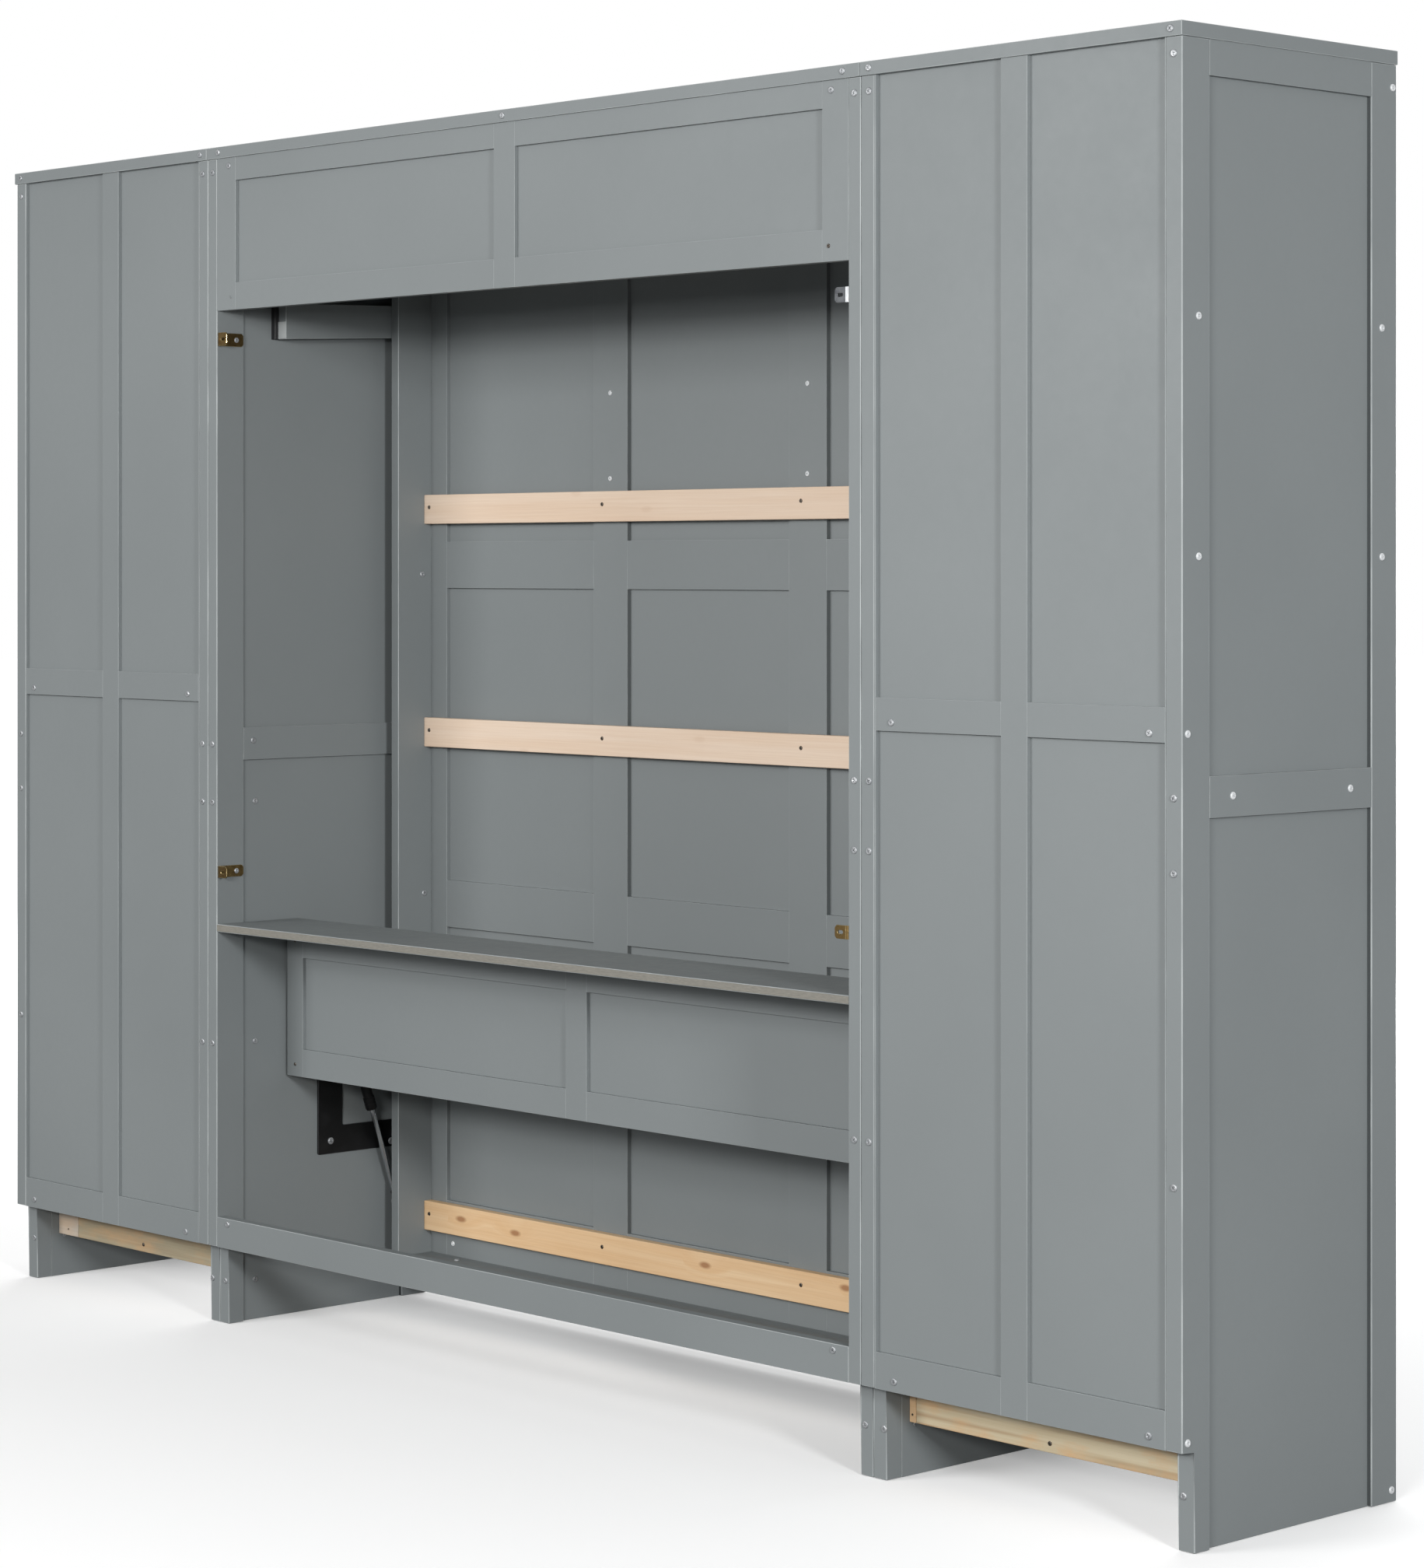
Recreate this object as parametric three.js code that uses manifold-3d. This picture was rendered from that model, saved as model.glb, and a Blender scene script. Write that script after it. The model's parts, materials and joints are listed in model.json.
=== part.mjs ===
// Murphy wall bed: a queen-size fold-down bed in a centre cabinet, between two storage cabinets.
// Millimetres, +Z up. X runs along the wall, the bed opens towards -Y, the wall is at +Y.
// Inside the furniture group Y = 0 is the middle of the carcass depth.
import * as THREE from 'three';
import { mergeVertices } from 'three/addons/utils/BufferGeometryUtils.js';
import Module from 'manifold-3d';

const wasm = await Module();
wasm.setup();

// ---------- driving dimensions ----------
const HEIGHT = 2150;
const TOP_THICK = 21;
const CARCASS_TOP = HEIGHT - TOP_THICK;
const FRONT = -244.5;
const REAR = 244.5;
const TOP_REAR_LIP = 4;
const TOP_END_LIP = 2.5;

const CENTER_INNER = 815; // inner face of a centre side panel
const CENTER_OUTER = 841.5;
const TOWER_INNER_SIDE = [842.5, 870]; // side panel next to the centre cabinet
const TOWER_OUTER_SIDE = [1445, 1475];

const STILE = 60; // frame members of the side panels
const SIDE_RECESS = 8;
const SIDE_MID_RAIL = [1031, 1090];
const SIDE_TOP_RAIL_LOW = 2078;
const SKIRTING_NOTCH = { depth: 27, height: 144 };
const PAST = 10; // how far a cutting tool runs past the face it opens

const BACK_THICK = 18;
const BACK_RECESS = 7;
const BOARD = 18; // shelves, doors and drawer fronts
const CLEARANCE = 3; // gap round doors and drawers
const HAIR = 0.3; // gap behind the handles

const MULLION = 27; // half width of the centre member in the header and the headboard
const HEADER = { low: 1852, fieldZ: [1901, 2087], fieldEnd: 758 };
const REAR_RAIL = { thick: 20, top: 199 };
const TOE_RAIL_Z = [10, 50];
const HEADBOARD = { panelY: [60, 85], low: 444, shelfZ: [719, 733], fieldZ: [495, 664], fieldEnd: 768 };
const WALL_BRACKET = {
  thick: 3, side: 57.5, rear: 30, levels: { upper: [1788, 1812], lower: [818, 839] },
};
const STOP_CLEAT = { gap: 1, y: [-150, 108], z: [1805, 1877] };
const MECHANISM_PLATE = { thick: 4, legY: [-47, 10], legZ: [287, 670], footFront: -184, footTop: 338 };

// Bed fold axis, along X: a stud of this radius sits this deep in a slightly larger, deeper socket.
const PIVOT = { y: -176, z: 312, radius: 8, depth: 14.5, socketPlay: 0.4, socketDepth: 15.5 };
const BED_BOTTOM = 66;
const BED_TOP = 2124;
const BED_PANEL = { halfWidth: 811, thick: 27, recess: 8 };
const BED_BACK = FRONT + BED_PANEL.thick; // inner face of the bed's front panel
const BED_COLUMNS = [[-720, -300], [-208, 208], [300, 720]];
const BED_ROWS = [[190, 706], [794, 1345], [1432, 1985]];
const RAIL = { inner: 766, outer: 787, depth: 79.5 };
const HEAD_RAIL_THICK = 21.5;
const FOOT_RAIL_THICK = 12;
const SLAT = { height: 55, thick: 18, lows: [131, 588, 1045, 1466, 1920] };

const STRUT = {
  x: 800, tubeRadius: 11, boreRadius: 5.6, rodRadius: 5, tubeEnd: 290, rodLength: 290,
  closedEnd: 22, shoulder: 9, eyeRadius: 8.5, eyeHole: 4.4, pinRadius: 4, pinEnd: 7,
};
const STRUT_TOP = { y: -8, z: 640 }; // anchor on the mechanism plate
const STRUT_FOOT = { y: -162, z: 185 }; // anchor on the bed rail, bed stored

const HANDLE = { reach: 30, bar: 10, width: 12, corner: 7 };
const BED_HANDLE = { x: 256, z: 1621, centres: 154 };
const TOWER_HANDLE_CENTRES = 128;
const LEG = { x: 600, bar: 20, pivotY: -256.5, pivotZ: 2050, pinRadius: 5, pinEnd: 614 };

const MODEL_SHIFT_Y = (HANDLE.reach - TOP_REAR_LIP) / 2; // centres the bounding box on the origin

// ---------- materials ----------
const paint = () => new THREE.MeshStandardMaterial({ color: 0x8f9695, roughness: 0.5, metalness: 0 });
const pine = () => new THREE.MeshStandardMaterial({ color: 0xe6c6a0, roughness: 0.65, metalness: 0 });
const blackSteel = () => new THREE.MeshStandardMaterial({ color: 0x1c1d1e, roughness: 0.45, metalness: 0.6 });
const zinc = () => new THREE.MeshStandardMaterial({ color: 0xc2c4c6, roughness: 0.3, metalness: 1 });
const brassZinc = () => new THREE.MeshStandardMaterial({ color: 0xb08d4c, roughness: 0.35, metalness: 1 });
const chrome = () => new THREE.MeshStandardMaterial({ color: 0xd8dadc, roughness: 0.12, metalness: 1 });

// ---------- solids ----------
function block(x, y, z) {
  const [size, middle] = [new THREE.Vector3(), new THREE.Vector3()];
  const box = new THREE.Box3().setFromPoints([
    new THREE.Vector3(x[0], y[0], z[0]), new THREE.Vector3(x[1], y[1], z[1]),
  ]);
  box.getSize(size);
  box.getCenter(middle);
  return new THREE.BoxGeometry(size.x, size.y, size.z).translate(middle.x, middle.y, middle.z);
}

function rodAlongX(radius, x, y, z, sides = 32) {
  const length = Math.abs(x[1] - x[0]);
  const geometry = new THREE.CylinderGeometry(radius, radius, length, sides);
  return geometry.rotateZ(Math.PI / 2).translate((x[0] + x[1]) / 2, y, z);
}

// Extrudes an outline drawn in the Y-Z plane along X.
function extrudeAlongX(shape, x, curveSegments = 8) {
  const depth = Math.abs(x[1] - x[0]);
  const geometry = new THREE.ExtrudeGeometry(shape, { depth, bevelEnabled: false, curveSegments });
  const turn = new THREE.Matrix4().makeBasis(
    new THREE.Vector3(0, 1, 0), new THREE.Vector3(0, 0, 1), new THREE.Vector3(1, 0, 0),
  );
  return geometry.applyMatrix4(turn).translate(Math.min(x[0], x[1]), 0, 0);
}

function toManifold(geometry) {
  const bare = geometry.clone();
  bare.deleteAttribute('normal');
  bare.deleteAttribute('uv');
  const merged = mergeVertices(bare, 1e-4);
  return new wasm.Manifold(new wasm.Mesh({
    numProp: 3,
    vertProperties: new Float32Array(merged.attributes.position.array),
    triVerts: new Uint32Array(merged.index.array),
  }));
}

function toGeometry(manifold) {
  const mesh = manifold.getMesh();
  const geometry = new THREE.BufferGeometry();
  geometry.setAttribute('position', new THREE.BufferAttribute(mesh.vertProperties, 3));
  geometry.setIndex(new THREE.BufferAttribute(mesh.triVerts, 1));
  return geometry;
}

function shapeSolid(base, { add = [], cut = [] }) {
  let result = toManifold(base);
  for (const extra of add) result = result.add(toManifold(extra));
  for (const tool of cut) result = result.subtract(toManifold(tool));
  return toGeometry(result);
}

// ---------- scene graph ----------
const furniture = new THREE.Group();

function place(name, geometry, material, parent = furniture) {
  const mesh = new THREE.Mesh(geometry, material);
  mesh.name = name;
  parent.add(mesh);
  return mesh;
}

const SIDES = [{ word: 'left', sign: -1 }, { word: 'right', sign: 1 }];
const across = (sign, x) => x.map((value) => sign * value).sort((a, b) => a - b);

// ---------- side panels ----------
// The rear bottom corner of every side is cut away over the skirting board.
function skirtingNotch(x) {
  const notchY = [REAR - SKIRTING_NOTCH.depth, REAR + PAST];
  return block([x[0] - PAST, x[1] + PAST], notchY, [-PAST, SKIRTING_NOTCH.height]);
}

// A stile-and-rail panel with shallow fields on one face.
function sidePanel(x, recessFace) {
  const inward = recessFace === x[0] ? 1 : -1;
  const fieldX = [recessFace - inward, recessFace + inward * SIDE_RECESS].sort((a, b) => a - b);
  const fieldY = [FRONT + STILE, REAR - STILE];
  return shapeSolid(block(x, [FRONT, REAR], [0, CARCASS_TOP]), {
    cut: [
      block(fieldX, fieldY, [SIDE_MID_RAIL[1], SIDE_TOP_RAIL_LOW]),
      block(fieldX, fieldY, [-PAST, SIDE_MID_RAIL[0]]),
      skirtingNotch(x),
    ],
  });
}

function plainSide(x) {
  return shapeSolid(block(x, [FRONT, REAR], [0, CARCASS_TOP]), { cut: [skirtingNotch(x)] });
}

// ---------- centre cabinet ----------
// Cutting tools for a pair of fields, left and right of a centre member, in a board's rear face.
function twoFields(end, rearFace, z) {
  const y = [rearFace - BACK_RECESS, rearFace + PAST];
  return SIDES.map(({ sign }) => block(across(sign, [MULLION, end]), y, z));
}

function buildCenterBoards() {
  for (const { word, sign } of SIDES) {
    const x = across(sign, [CENTER_INNER, CENTER_OUTER]);
    place(`center_side_${word}`, sidePanel(x, sign * CENTER_INNER), paint());
  }
  place('center_top',
    block([-CENTER_OUTER, CENTER_OUTER], [FRONT, REAR + TOP_REAR_LIP], [CARCASS_TOP, HEIGHT]), paint());

  const span = [-CENTER_INNER, CENTER_INNER];
  const back = [REAR - BACK_THICK, REAR];
  const header = shapeSolid(block(span, back, [HEADER.low, CARCASS_TOP]), {
    cut: twoFields(HEADER.fieldEnd, REAR, HEADER.fieldZ),
  });
  place('rear_header', header, paint());
  const railZ = [SKIRTING_NOTCH.height, REAR_RAIL.top];
  place('rear_bottom_rail', block(span, [REAR - REAR_RAIL.thick, REAR], railZ), paint());
  place('front_toe_rail', block(span, [FRONT, FRONT + BOARD], TOE_RAIL_Z), paint());
}

function buildHeadboard() {
  const span = [-CENTER_INNER, CENTER_INNER];
  const { panelY, low, shelfZ, fieldZ, fieldEnd } = HEADBOARD;
  place('headboard_shelf', block(span, [panelY[0], REAR], shelfZ), paint());
  const panel = shapeSolid(block(span, panelY, [low, shelfZ[0]]), {
    cut: twoFields(fieldEnd, panelY[1], fieldZ),
  });
  place('headboard_panel', panel, paint());
}

// Angle brackets that hold the centre cabinet to the wall.
function buildWallBrackets() {
  const { thick, side, rear, levels } = WALL_BRACKET;
  for (const [level, z] of Object.entries(levels)) {
    for (const { word, sign } of SIDES) {
      const sideX = across(sign, [CENTER_INNER - thick, CENTER_INNER]);
      const rearX = across(sign, [CENTER_INNER - rear, CENTER_INNER]);
      const flange = block(sideX, [REAR - side, REAR], z);
      const bracket = shapeSolid(flange, { add: [block(rearX, [REAR - thick, REAR], z)] });
      const finish = level === 'upper' && word === 'left' ? zinc() : brassZinc();
      place(`wall_bracket_${level}_${word}`, bracket, finish);
    }
  }
}

// Blocks that keep the stored bed from swaying sideways.
function buildStopCleats() {
  for (const { word, sign } of SIDES) {
    const x = across(sign, [RAIL.outer + STOP_CLEAT.gap, CENTER_INNER + SIDE_RECESS]);
    place(`stop_cleat_${word}`, block(x, STOP_CLEAT.y, STOP_CLEAT.z), paint());
  }
}

// L-shaped steel plate on each centre side: carries the bed's pivot stud and the gas strut's pin.
function buildMechanismPlates() {
  const face = CENTER_INNER + SIDE_RECESS;
  const { thick, legY, legZ, footFront, footTop } = MECHANISM_PLATE;
  const outline = new THREE.Shape();
  outline.moveTo(legY[1], legZ[0]);
  outline.lineTo(legY[1], legZ[1]);
  outline.lineTo(legY[0], legZ[1]);
  outline.lineTo(legY[0], footTop);
  outline.lineTo(footFront, footTop);
  outline.lineTo(footFront, legZ[0]);
  outline.closePath();
  for (const { word, sign } of SIDES) {
    const plate = extrudeAlongX(outline, across(sign, [face - thick, face]));
    const pivotX = across(sign, [RAIL.outer - PIVOT.depth, face - thick / 2]);
    const pinX = across(sign, [STRUT.x - STRUT.pinEnd, face - thick / 2]);
    const parts = shapeSolid(plate, {
      add: [
        rodAlongX(PIVOT.radius, pivotX, PIVOT.y, PIVOT.z),
        rodAlongX(STRUT.pinRadius, pinX, STRUT_TOP.y, STRUT_TOP.z, 24),
      ],
    });
    place(`mechanism_plate_${word}`, parts, blackSteel());
  }
}

// ---------- bed ----------
function buildBedPanel() {
  const { halfWidth, recess } = BED_PANEL;
  const cut = [];
  for (const x of BED_COLUMNS) {
    for (const z of BED_ROWS) {
      cut.push(block(x, [BED_BACK - recess, BED_BACK + PAST], z));
      cut.push(block(x, [FRONT - PAST, FRONT + recess], z));
    }
  }
  const board = block([-halfWidth, halfWidth], [FRONT, BED_BACK], [BED_BOTTOM, BED_TOP]);
  place('bed_front_panel', shapeSolid(board, { cut }), paint());
}

function buildBedFrame() {
  const y = [BED_BACK, BED_BACK + RAIL.depth];
  for (const { word, sign } of SIDES) {
    const socketX = across(sign, [RAIL.outer - PIVOT.socketDepth, RAIL.outer + PAST]);
    const socket = rodAlongX(PIVOT.radius + PIVOT.socketPlay, socketX, PIVOT.y, PIVOT.z);
    const rail = block(across(sign, [RAIL.inner, RAIL.outer]), y, [BED_BOTTOM, BED_TOP]);
    place(`bed_rail_${word}`, shapeSolid(rail, { cut: [socket] }), paint());
  }
  const span = [-RAIL.inner, RAIL.inner];
  place('bed_head_rail', block(span, y, [BED_BOTTOM, BED_BOTTOM + HEAD_RAIL_THICK]), paint());
  place('bed_foot_rail', block(span, y, [BED_TOP - FOOT_RAIL_THICK, BED_TOP]), paint());
  SLAT.lows.forEach((low, i) => {
    const slat = block(span, [BED_BACK, BED_BACK + SLAT.thick], [low, low + SLAT.height]);
    place(`bed_slat_${i + 1}`, slat, pine());
  });
}

// Bow handle: a bar on two posts, standing out along -Y from y = 0 and running along Z.
function bowHandle(centres) {
  const { reach, bar, width, corner } = HANDLE;
  const half = centres / 2 + bar / 2;
  const outline = new THREE.Shape();
  outline.moveTo(-HAIR, -half);
  outline.lineTo(-HAIR, -half + bar);
  outline.lineTo(-reach + bar, -half + bar);
  outline.lineTo(-reach + bar, half - bar);
  outline.lineTo(-HAIR, half - bar);
  outline.lineTo(-HAIR, half);
  outline.lineTo(-reach + corner, half);
  outline.absarc(-reach + corner, half - corner, corner, Math.PI / 2, Math.PI, false);
  outline.lineTo(-reach, -half + corner);
  outline.absarc(-reach + corner, -half + corner, corner, Math.PI, Math.PI * 1.5, false);
  outline.closePath();
  return extrudeAlongX(outline, [-width / 2, width / 2], 6);
}

function buildBedHandles() {
  for (const { word, sign } of SIDES) {
    const handle = place(`bed_handle_${word}`, bowHandle(BED_HANDLE.centres), zinc());
    handle.position.set(sign * BED_HANDLE.x, FRONT, BED_HANDLE.z);
  }
}

// U-shaped leg frame under the foot end; it hangs flat against the stored bed's front.
function buildLegFrame() {
  const { x, bar, pivotY, pivotZ, pinRadius, pinEnd } = LEG;
  const length = PIVOT.z + (pivotY - PIVOT.y); // pivot height above the floor with the bed down
  const half = bar / 2;
  const low = pivotZ - length;
  const leg = new THREE.Shape();
  leg.moveTo(pivotY - half, low);
  leg.lineTo(pivotY + half, low);
  leg.lineTo(pivotY + half, pivotZ);
  leg.absarc(pivotY, pivotZ, half, 0, Math.PI, false);
  leg.closePath();
  const legs = SIDES.map(({ sign }) => extrudeAlongX(leg, across(sign, [x - bar, x]), 12));
  const foot = block([-x, x], [pivotY - half, pivotY + half], [low, low + bar]);
  const pins = SIDES.map(({ sign }) =>
    rodAlongX(pinRadius, across(sign, [x - half, pinEnd]), pivotY, pivotZ, 20));
  place('bed_leg_frame', shapeSolid(foot, { add: [...legs, ...pins] }), blackSteel());
}

// ---------- gas struts ----------
// Each strut hangs from its top pin; its own axis is local -Z from that pin.
function strutTube() {
  const { tubeRadius, boreRadius, tubeEnd, closedEnd, shoulder, eyeRadius, eyeHole } = STRUT;
  const profile = [
    [0, -shoulder], [tubeRadius - 3, -shoulder], [tubeRadius, -shoulder - 6],
    [tubeRadius, -tubeEnd + 2], [tubeRadius - 2, -tubeEnd], [boreRadius, -tubeEnd],
    [boreRadius, -closedEnd], [0, -closedEnd],
  ].map(([r, z]) => new THREE.Vector2(r, z)).reverse();
  const tube = new THREE.LatheGeometry(profile, 28).rotateX(Math.PI / 2);
  return shapeSolid(tube, {
    add: [rodAlongX(eyeRadius + 1, [-5, 5], 0, 0, 24)],
    cut: [rodAlongX(eyeHole, [-PAST, PAST], 0, 0, 24)],
  });
}

function strutRod(footDistance) {
  const { rodRadius, rodLength, eyeRadius, eyeHole } = STRUT;
  const top = -footDistance + rodLength;
  const profile = [[0, top], [rodRadius, top], [rodRadius, -footDistance], [0, -footDistance]]
    .map(([r, z]) => new THREE.Vector2(r, z)).reverse();
  const rod = new THREE.LatheGeometry(profile, 24).rotateX(Math.PI / 2);
  return shapeSolid(rod, {
    add: [rodAlongX(eyeRadius, [-4, 4], 0, -footDistance, 24)],
    cut: [rodAlongX(eyeHole, [-PAST, PAST], 0, -footDistance, 24)],
  });
}

function buildStruts() {
  const dy = STRUT_FOOT.y - STRUT_TOP.y;
  const dz = STRUT_FOOT.z - STRUT_TOP.z;
  const footDistance = Math.hypot(dy, dz);
  for (const { word, sign } of SIDES) {
    const strut = new THREE.Group();
    strut.position.set(sign * STRUT.x, STRUT_TOP.y, STRUT_TOP.z);
    strut.rotation.x = Math.atan2(dy, -dz);
    furniture.add(strut);
    place(`strut_tube_${word}`, strutTube(), blackSteel(), strut);
    place(`strut_rod_${word}`, strutRod(footDistance), chrome(), strut);
  }
}

// ---------- storage towers ----------
const TOWER = {
  inside: [TOWER_INNER_SIDE[1], TOWER_OUTER_SIDE[0]],
  backY: REAR - BACK_THICK,
  bottomLow: SKIRTING_NOTCH.height,
  dividerLow: 1052,
  shelfLows: { shelf_lower: 1391, shelf_upper: 1729 },
  drawerZ: [868, 1048],
  doorZ: [165, 864],
  backFieldX: [[873, 1130], [1182, 1443]],
  backFieldZ: [[200, 1138], [1188, CARCASS_TOP + PAST]],
  pineRail: { y: [150, 168], low: 82 },
};
const DRAWER = { wall: 12, runnerGap: 13, rear: 200, low: 12, top: 30, frame: 45, field: 5 };
const DOOR = { frame: 60, field: 6, handleDrop: 130 };

function towerBack(sign) {
  const fieldY = [REAR - BACK_RECESS, REAR + PAST];
  const cut = TOWER.backFieldX.flatMap((x) =>
    TOWER.backFieldZ.map((z) => block(across(sign, x), fieldY, z)));
  const board = block(across(sign, TOWER.inside), [TOWER.backY, REAR], [TOWER.bottomLow, CARCASS_TOP]);
  return shapeSolid(board, { cut });
}

function buildTowerCarcass(word, sign) {
  const inside = across(sign, TOWER.inside);
  const outer = across(sign, TOWER_OUTER_SIDE);
  const topX = across(sign, [TOWER_INNER_SIDE[0], TOWER_OUTER_SIDE[1] + TOP_END_LIP]);
  place(`${word}_tower_outer_side`, sidePanel(outer, sign * TOWER_OUTER_SIDE[1]), paint());
  place(`${word}_tower_inner_side`, plainSide(across(sign, TOWER_INNER_SIDE)), paint());
  place(`${word}_tower_top`, block(topX, [FRONT, REAR + TOP_REAR_LIP], [CARCASS_TOP, HEIGHT]), paint());
  place(`${word}_tower_back`, towerBack(sign), paint());

  const behindDoor = [FRONT + BOARD + CLEARANCE, TOWER.backY];
  const bottomZ = [TOWER.bottomLow, TOWER.bottomLow + BOARD];
  place(`${word}_tower_bottom`, block(inside, [FRONT, TOWER.backY], bottomZ), paint());
  const { y: railY, low: railLow } = TOWER.pineRail;
  place(`${word}_tower_pine_rail`, block(inside, railY, [railLow, TOWER.bottomLow]), pine());
  place(`${word}_tower_divider`,
    block(inside, [FRONT, TOWER.backY], [TOWER.dividerLow, TOWER.dividerLow + BOARD]), paint());
  for (const [name, low] of Object.entries(TOWER.shelfLows)) {
    place(`${word}_tower_${name}`, block(inside, behindDoor, [low, low + BOARD]), paint());
  }
}

// A drawer: shaker front and an open-topped box behind it, as one glued-up piece.
function buildTowerDrawer(word, sign) {
  const { wall, runnerGap, rear, low, top, frame, field } = DRAWER;
  const [near, far] = [TOWER.inside[0] + CLEARANCE, TOWER.inside[1] - CLEARANCE];
  const [frontLow, frontTop] = TOWER.drawerZ;
  const boxX = [TOWER.inside[0] + runnerGap, TOWER.inside[1] - runnerGap];
  const boxZ = [frontLow + low, frontTop - top];
  const front = block(across(sign, [near, far]), [FRONT, FRONT + BOARD], TOWER.drawerZ);
  const box = block(across(sign, boxX), [FRONT + BOARD - 1, rear], boxZ);
  const sunk = block(across(sign, [near + frame, far - frame]), [FRONT - PAST, FRONT + field],
    [frontLow + frame, frontTop - frame]);
  const hollow = block(across(sign, [boxX[0] + wall, boxX[1] - wall]),
    [FRONT + BOARD, rear - wall], [boxZ[0] + wall, boxZ[1] + PAST]);
  place(`${word}_tower_drawer`, shapeSolid(front, { add: [box], cut: [sunk, hollow] }), paint());

  const handle = place(`${word}_tower_drawer_handle`, bowHandle(TOWER_HANDLE_CENTRES), zinc());
  handle.rotation.y = Math.PI / 2;
  handle.position.set(sign * (near + far) / 2, FRONT + field, (frontLow + frontTop) / 2);
}

function buildTowerDoor(word, sign) {
  const { frame, field, handleDrop } = DOOR;
  const [near, far] = [TOWER.inside[0] + CLEARANCE, TOWER.inside[1] - CLEARANCE];
  const [low, top] = TOWER.doorZ;
  const door = block(across(sign, [near, far]), [FRONT, FRONT + BOARD], TOWER.doorZ);
  const sunk = block(across(sign, [near + frame, far - frame]), [FRONT - PAST, FRONT + field],
    [low + frame, top - frame]);
  place(`${word}_tower_door`, shapeSolid(door, { cut: [sunk] }), paint());

  const handle = place(`${word}_tower_door_handle`, bowHandle(TOWER_HANDLE_CENTRES), zinc());
  handle.position.set(sign * (near + frame / 2), FRONT, top - handleDrop);
}

// ---------- assembly ----------
buildCenterBoards();
buildHeadboard();
buildWallBrackets();
buildStopCleats();
buildMechanismPlates();
buildBedPanel();
buildBedFrame();
buildBedHandles();
buildLegFrame();
buildStruts();
for (const { word, sign } of SIDES) {
  buildTowerCarcass(word, sign);
  buildTowerDrawer(word, sign);
  buildTowerDoor(word, sign);
}
furniture.position.y = MODEL_SHIFT_Y;

const model = new THREE.Group();
model.add(furniture);

export default model;
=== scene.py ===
"""Looks of the murphy wall bed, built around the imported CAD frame. Metres, +Z up, wall at +Y."""
import json
import math
import random

import bmesh
import bpy
from mathutils import Matrix, Vector


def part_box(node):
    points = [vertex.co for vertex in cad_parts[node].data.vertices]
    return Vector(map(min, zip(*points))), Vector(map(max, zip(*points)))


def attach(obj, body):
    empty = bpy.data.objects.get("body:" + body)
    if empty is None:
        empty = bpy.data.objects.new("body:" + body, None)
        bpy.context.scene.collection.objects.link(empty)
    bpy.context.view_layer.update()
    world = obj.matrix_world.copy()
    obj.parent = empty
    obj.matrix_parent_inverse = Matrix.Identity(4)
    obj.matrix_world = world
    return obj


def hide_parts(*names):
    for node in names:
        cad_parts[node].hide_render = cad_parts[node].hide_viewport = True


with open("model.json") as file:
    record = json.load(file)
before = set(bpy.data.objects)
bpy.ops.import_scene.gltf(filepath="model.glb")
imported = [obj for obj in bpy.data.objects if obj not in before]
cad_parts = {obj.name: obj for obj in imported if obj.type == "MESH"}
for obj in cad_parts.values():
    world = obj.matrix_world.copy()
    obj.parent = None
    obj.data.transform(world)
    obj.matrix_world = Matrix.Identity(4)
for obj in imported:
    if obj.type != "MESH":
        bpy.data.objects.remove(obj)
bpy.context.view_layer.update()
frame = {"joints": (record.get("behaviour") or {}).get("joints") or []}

MM = 0.001
SIDES = (("left", -1), ("right", 1))


def span(node):
    """Lowest and highest corner of a CAD node as two tuples."""
    low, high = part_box(node)
    return tuple(low), tuple(high)


def pairs(loop):
    """Each item of a closed loop with the one after it."""
    return list(zip(loop, loop[1:] + loop[:1]))


def side_x(sign, near, far):
    """An X range on one side of the bed, lowest first, from two distances to the middle."""
    return tuple(sorted((sign * near, sign * far)))


def widened(ends, by):
    """A range made longer at both ends."""
    return ends[0] - by, ends[1] + by


def gaps(whole, holes):
    """What is left of a range between the holes in it, lowest first."""
    found, at = [], whole[0]
    for low, high in sorted(holes):
        if low - at > 1e-4:
            found.append((at, low))
        at = high
    if whole[1] - at > 1e-4:
        found.append((at, whole[1]))
    return found


# ---------- places taken from the frame ----------
CENTRE_SIDE = span("center_side_right")
FRONT, REAR = CENTRE_SIDE[0][1], CENTRE_SIDE[1][1]
MID_Y = (FRONT + REAR) / 2
INNER = CENTRE_SIDE[0][0]
SEAM = CENTRE_SIDE[1][0]
OUTER_SIDE = span("right_tower_outer_side")
TOWER_SIDE = span("right_tower_inner_side")
CARCASS_TOP = CENTRE_SIDE[1][2]
PANEL = span("bed_front_panel")
RAIL = span("bed_rail_right")
JOINTS = {joint["name"]: joint for joint in frame["joints"]}
PIVOT = Vector(JOINTS["bed_fold"]["pos_m"])
STRUT_TOP = Vector(JOINTS["right_strut_swing"]["pos_m"])
STRUT_UP = Vector(JOINTS["right_strut_stroke"]["axis"])

STILE = 0.060
SIDE_RECESS = 0.008
SIDE_MID_RAIL = (1.031, 1.090)
SIDE_TOP_RAIL = 2.078
BACK_RECESS = 0.007
NOTCH = (0.027, 0.144)
POST_EASE = 0.0016  # rounding of the side panels' long edges


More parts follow.
